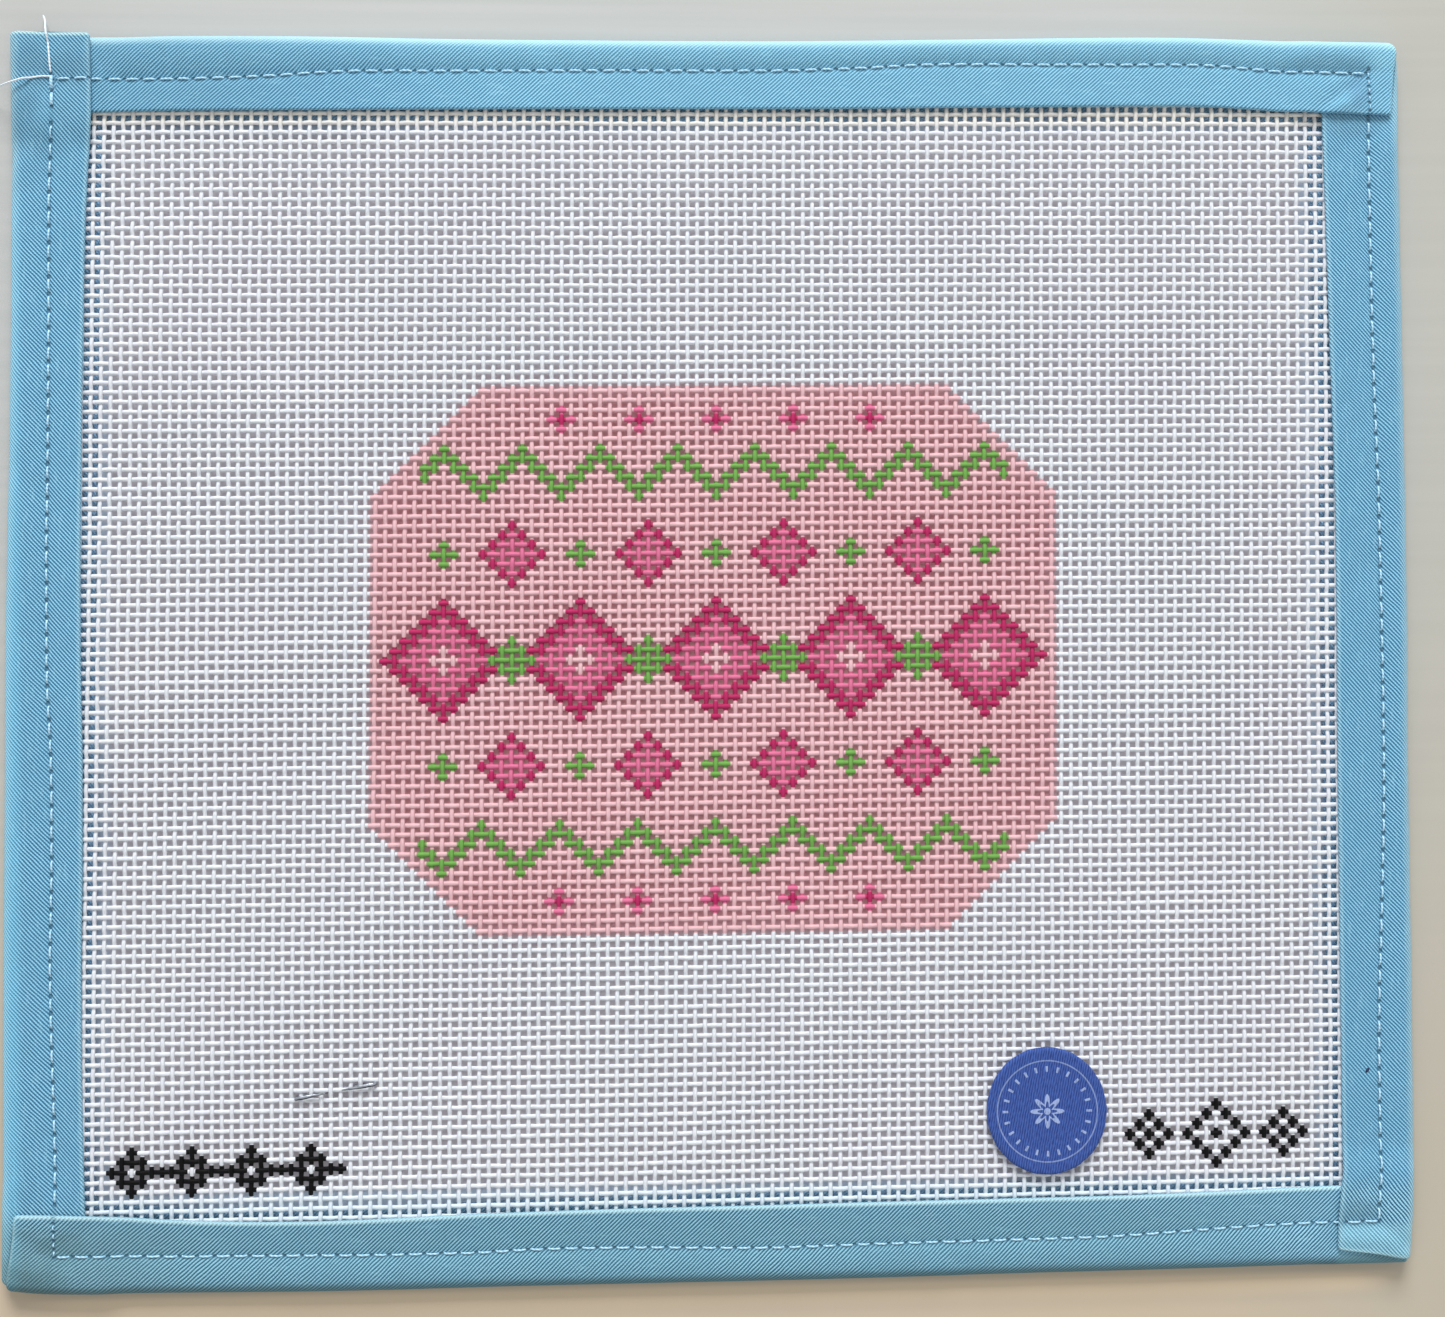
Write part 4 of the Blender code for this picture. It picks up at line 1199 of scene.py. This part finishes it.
def stapleBody(material):
    # the wire in its own upright plane: u along the crown, z up, with round bends
    half, low, high = 0.5 * staple["span"], staple["crownLow"], staple["tipHigh"]
    corners = np.array([
        (-half + staple["clinchLeft"], high - 0.05), (-half + 1.2, high + 0.10), (-half, high),
        (-half, low), (half, low), (half, high), (half - 1.2, high + 0.10),
        (half - staple["clinchRight"], high - 0.05)])
    route = [corners[0]]
    for before, corner, after in zip(corners, corners[1:], corners[2:]):
        back, on = before - corner, after - corner
        backLong, onLong = np.linalg.norm(back), np.linalg.norm(on)
        reach = min(staple["bend"], 0.45 * backLong, 0.45 * onLong)
        start, end = corner + back / backLong * reach, corner + on / onLong * reach
        for t in np.linspace(0.0, 1.0, 6):
            route.append((1 - t) ** 2 * start + 2 * t * (1 - t) * corner + t * t * end)
    route = np.array(route + [corners[-1]])
    ahead = heading(route)
    taper = np.ones((len(route), 1))
    taper[0] = taper[-1] = 0.35
    angles = np.radians(np.arange(0, 360, 30))
    side, lift = [
        0.5 * wide * taper * np.sign(wave) * abs(wave) ** staple["square"]
        for wide, wave in ((staple["wireWide"], np.cos(angles)), (staple["wireHigh"], np.sin(angles)))]
    u = route[:, :1] - ahead[:, 1:] * lift
    z = route[:, 1:] + ahead[:, :1] * lift
    x = staple["x"] + u * stapleCos - side * stapleSin
    y = staple["y"] + u * stapleSin + side * stapleCos
    return newBody("staple_wire", np.stack([x, y, z], axis=-1), material)


stapleWire = stapleBody(stapleMaterial())


# A fleck of lint on the right binding.

fleck = dict(x=95.8, y=-62.37, long=0.85, wide=0.42, turn=52.0, bow=0.05)


def fleckMaterial():
    material, graph = newMaterial("lintFleck", {"Specular IOR Level": 0.2})
    fuzz = graph.noise(graph.place(), 6.0, detail=3.0)
    graph.finish(graph.mixed(fuzz, tint(24, 30, 58), tint(64, 74, 112)), 0.8 + fuzz * 0.15, fuzz, 0.8, 0.05)
    return material


def fleckBody(material):
    cos, sin = cosAndSin(fleck["turn"])
    spread = np.linspace(-0.5, 0.5, 9)
    long, bow = spread * fleck["long"], fleck["bow"] * np.cos(spread * math.pi)
    plan = zip(fleck["x"] + long * cos - bow * sin, fleck["y"] + long * sin + bow * cos)
    route = [(x, y, tapeTop(x, y) + 0.05) for x, y in plan]
    fat = fleck["wide"] * np.sqrt(np.clip(1.0 - (2.0 * spread) ** 2, 0.03, 1.0))
    return tube("lint_fleck", route, fat, fat * 0.45, 8, material)


lint = fleckBody(fleckMaterial())
print("label, staple, thread ends and lint made")


# Floor, light and camera.

room = dict(
    floorWide=2.4, worldStrength=0.54, worldColour=(0.93, 0.96, 1.0, 1.0),
    windowLight=dict(spot=(-0.05, 1.30, 0.85), size=(0.80, 0.60), power=24.0, colour=(0.97, 0.985, 1.0)),
    roomFill=dict(spot=(0.55, -0.45, 0.70), size=(0.80, 0.80), power=0.8, colour=(1.0, 0.93, 0.84)))


def floorMaterial():
    material, graph = newMaterial("paleFloor", {"Specular IOR Level": 0.3})
    place = graph.place()
    x, y = graph.parts(place)[:2]
    grain = graph.noise(graph.vector("MULTIPLY", place, (0.012, 0.5, 1.0)), 1.0, detail=4.0)
    cloud = graph.noise(place, 0.008)
    # a painted band of light on the floor just below the panel's lower edge, that lifts the panel's shadow
    # there
    lit = graph.ramp(y, -91.9, -93.0) * graph.ramp(y, -96.4, -93.3) * graph.ramp(abs(x), 104.0, 92.0)
    # painted light on the floor under the panel: paler under the canvas, bluer near its bound edges and
    # pinker under the painted field, for light that passes through and off the cloth
    far = graph.math("MAXIMUM", abs(x) - 90.0, abs(y) - 79.0)
    columns, rows = abs(x) / canvas["columnPitch"], abs(y + 0.6) / canvas["rowPitch"]
    edge = graph.math("MAXIMUM", columns - chart["halfWide"], rows - chart["halfHigh"])
    edge = graph.math("MAXIMUM", edge, columns + rows - chart["cutCorner"])
    colour = graph.layered(
        graph.mixed(graph.ramp(grain, 0.30, 0.70), tint(190, 191, 187), tint(197, 197, 193)),
        (graph.ramp(y, 40.0, -110.0), (206, 186, 158)),
        (graph.ramp(cloud, 0.30, 0.70, 0.25), (188, 182, 174)),
        (graph.ramp(x, 60.0, 112.0, 0.55), (184, 180, 166)),
        (lit * 0.68, (238, 214, 180)),
        (graph.ramp(far, 5.0, 2.0, 0.95), (229, 222, 227)),
        (graph.ramp(far, -2.4, -0.8) * graph.ramp(far, 5.0, 2.0), (226, 238, 252)),
        (graph.ramp(edge, 1.3, -0.3, 0.9), (255, 207, 211)))
    graph.finish(colour, 0.55 + grain * 0.2, grain, 0.2, 0.05)
    return material


floorMesh = bpy.data.meshes.new("floor")
half = 0.5 * room["floorWide"]
floorCorners = [(-half, -half, 0.0), (half, -half, 0.0), (half, half, 0.0), (-half, half, 0.0)]
floorMesh.from_pydata(floorCorners, [], [(0, 1, 2, 3)])
floorMesh.materials.append(floorMaterial())
floor = linked("floor", floorMesh)

for name in ("windowLight", "roomFill"):
    light = bpy.data.lights.new(name, "AREA")
    light.shape = "RECTANGLE"
    light.size, light.size_y = room[name]["size"]
    light.energy = room[name]["power"]
    light.color = room[name]["colour"]
    softBox = linked(name, light)
    softBox.location = room[name]["spot"]
    softBox.rotation_euler = (-Vector(room[name]["spot"])).to_track_quat("-Z", "Y").to_euler()
world = bpy.data.worlds.new("softRoom")
bpy.context.scene.world = world
world.use_nodes = True
world.node_tree.nodes["Background"].inputs["Color"].default_value = room["worldColour"]
world.node_tree.nodes["Background"].inputs["Strength"].default_value = room["worldStrength"]
bpy.context.scene.view_settings.view_transform = "Standard"

# the camera looked almost straight down from a little left of the middle
viewpoint = dict(lens=44.84, spot=(-8.275, -7.70, 265.6), tilt=(1.54, -2.02, -0.61))
eye = bpy.data.cameras.new("photoCamera")
eye.lens = viewpoint["lens"]
eye.sensor_width = 36.0
eye.sensor_fit = "HORIZONTAL"
eye.clip_start = 0.01
camera = linked("photoCamera", eye)
camera.location = [v * mm for v in viewpoint["spot"]]
camera.rotation_euler = [math.radians(v) for v in viewpoint["tilt"]]
bpy.context.scene.camera = camera


# What each piece belongs to and stands for.

def belongs(piece, slot, *nodes):
    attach(piece, "root")
    if nodes:
        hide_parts(*nodes)


for block in canvasBlocks:
    belongs(block, "canvas", "canvas")
for strip, tape, seam in zip(strips, tapes, seams):
    belongs(tape, "tape", strip["name"])
    belongs(seam, "tape")
    length = strip["plan"][-1][0] - strip["plan"][0][0]
    length * mm
for thread in locks + tailBodies:
    belongs(thread, "tape")
belongs(labelCloth, "label", "label")
belongs(stapleWire, "steel_wire", "staple")
belongs(lint, "tape")
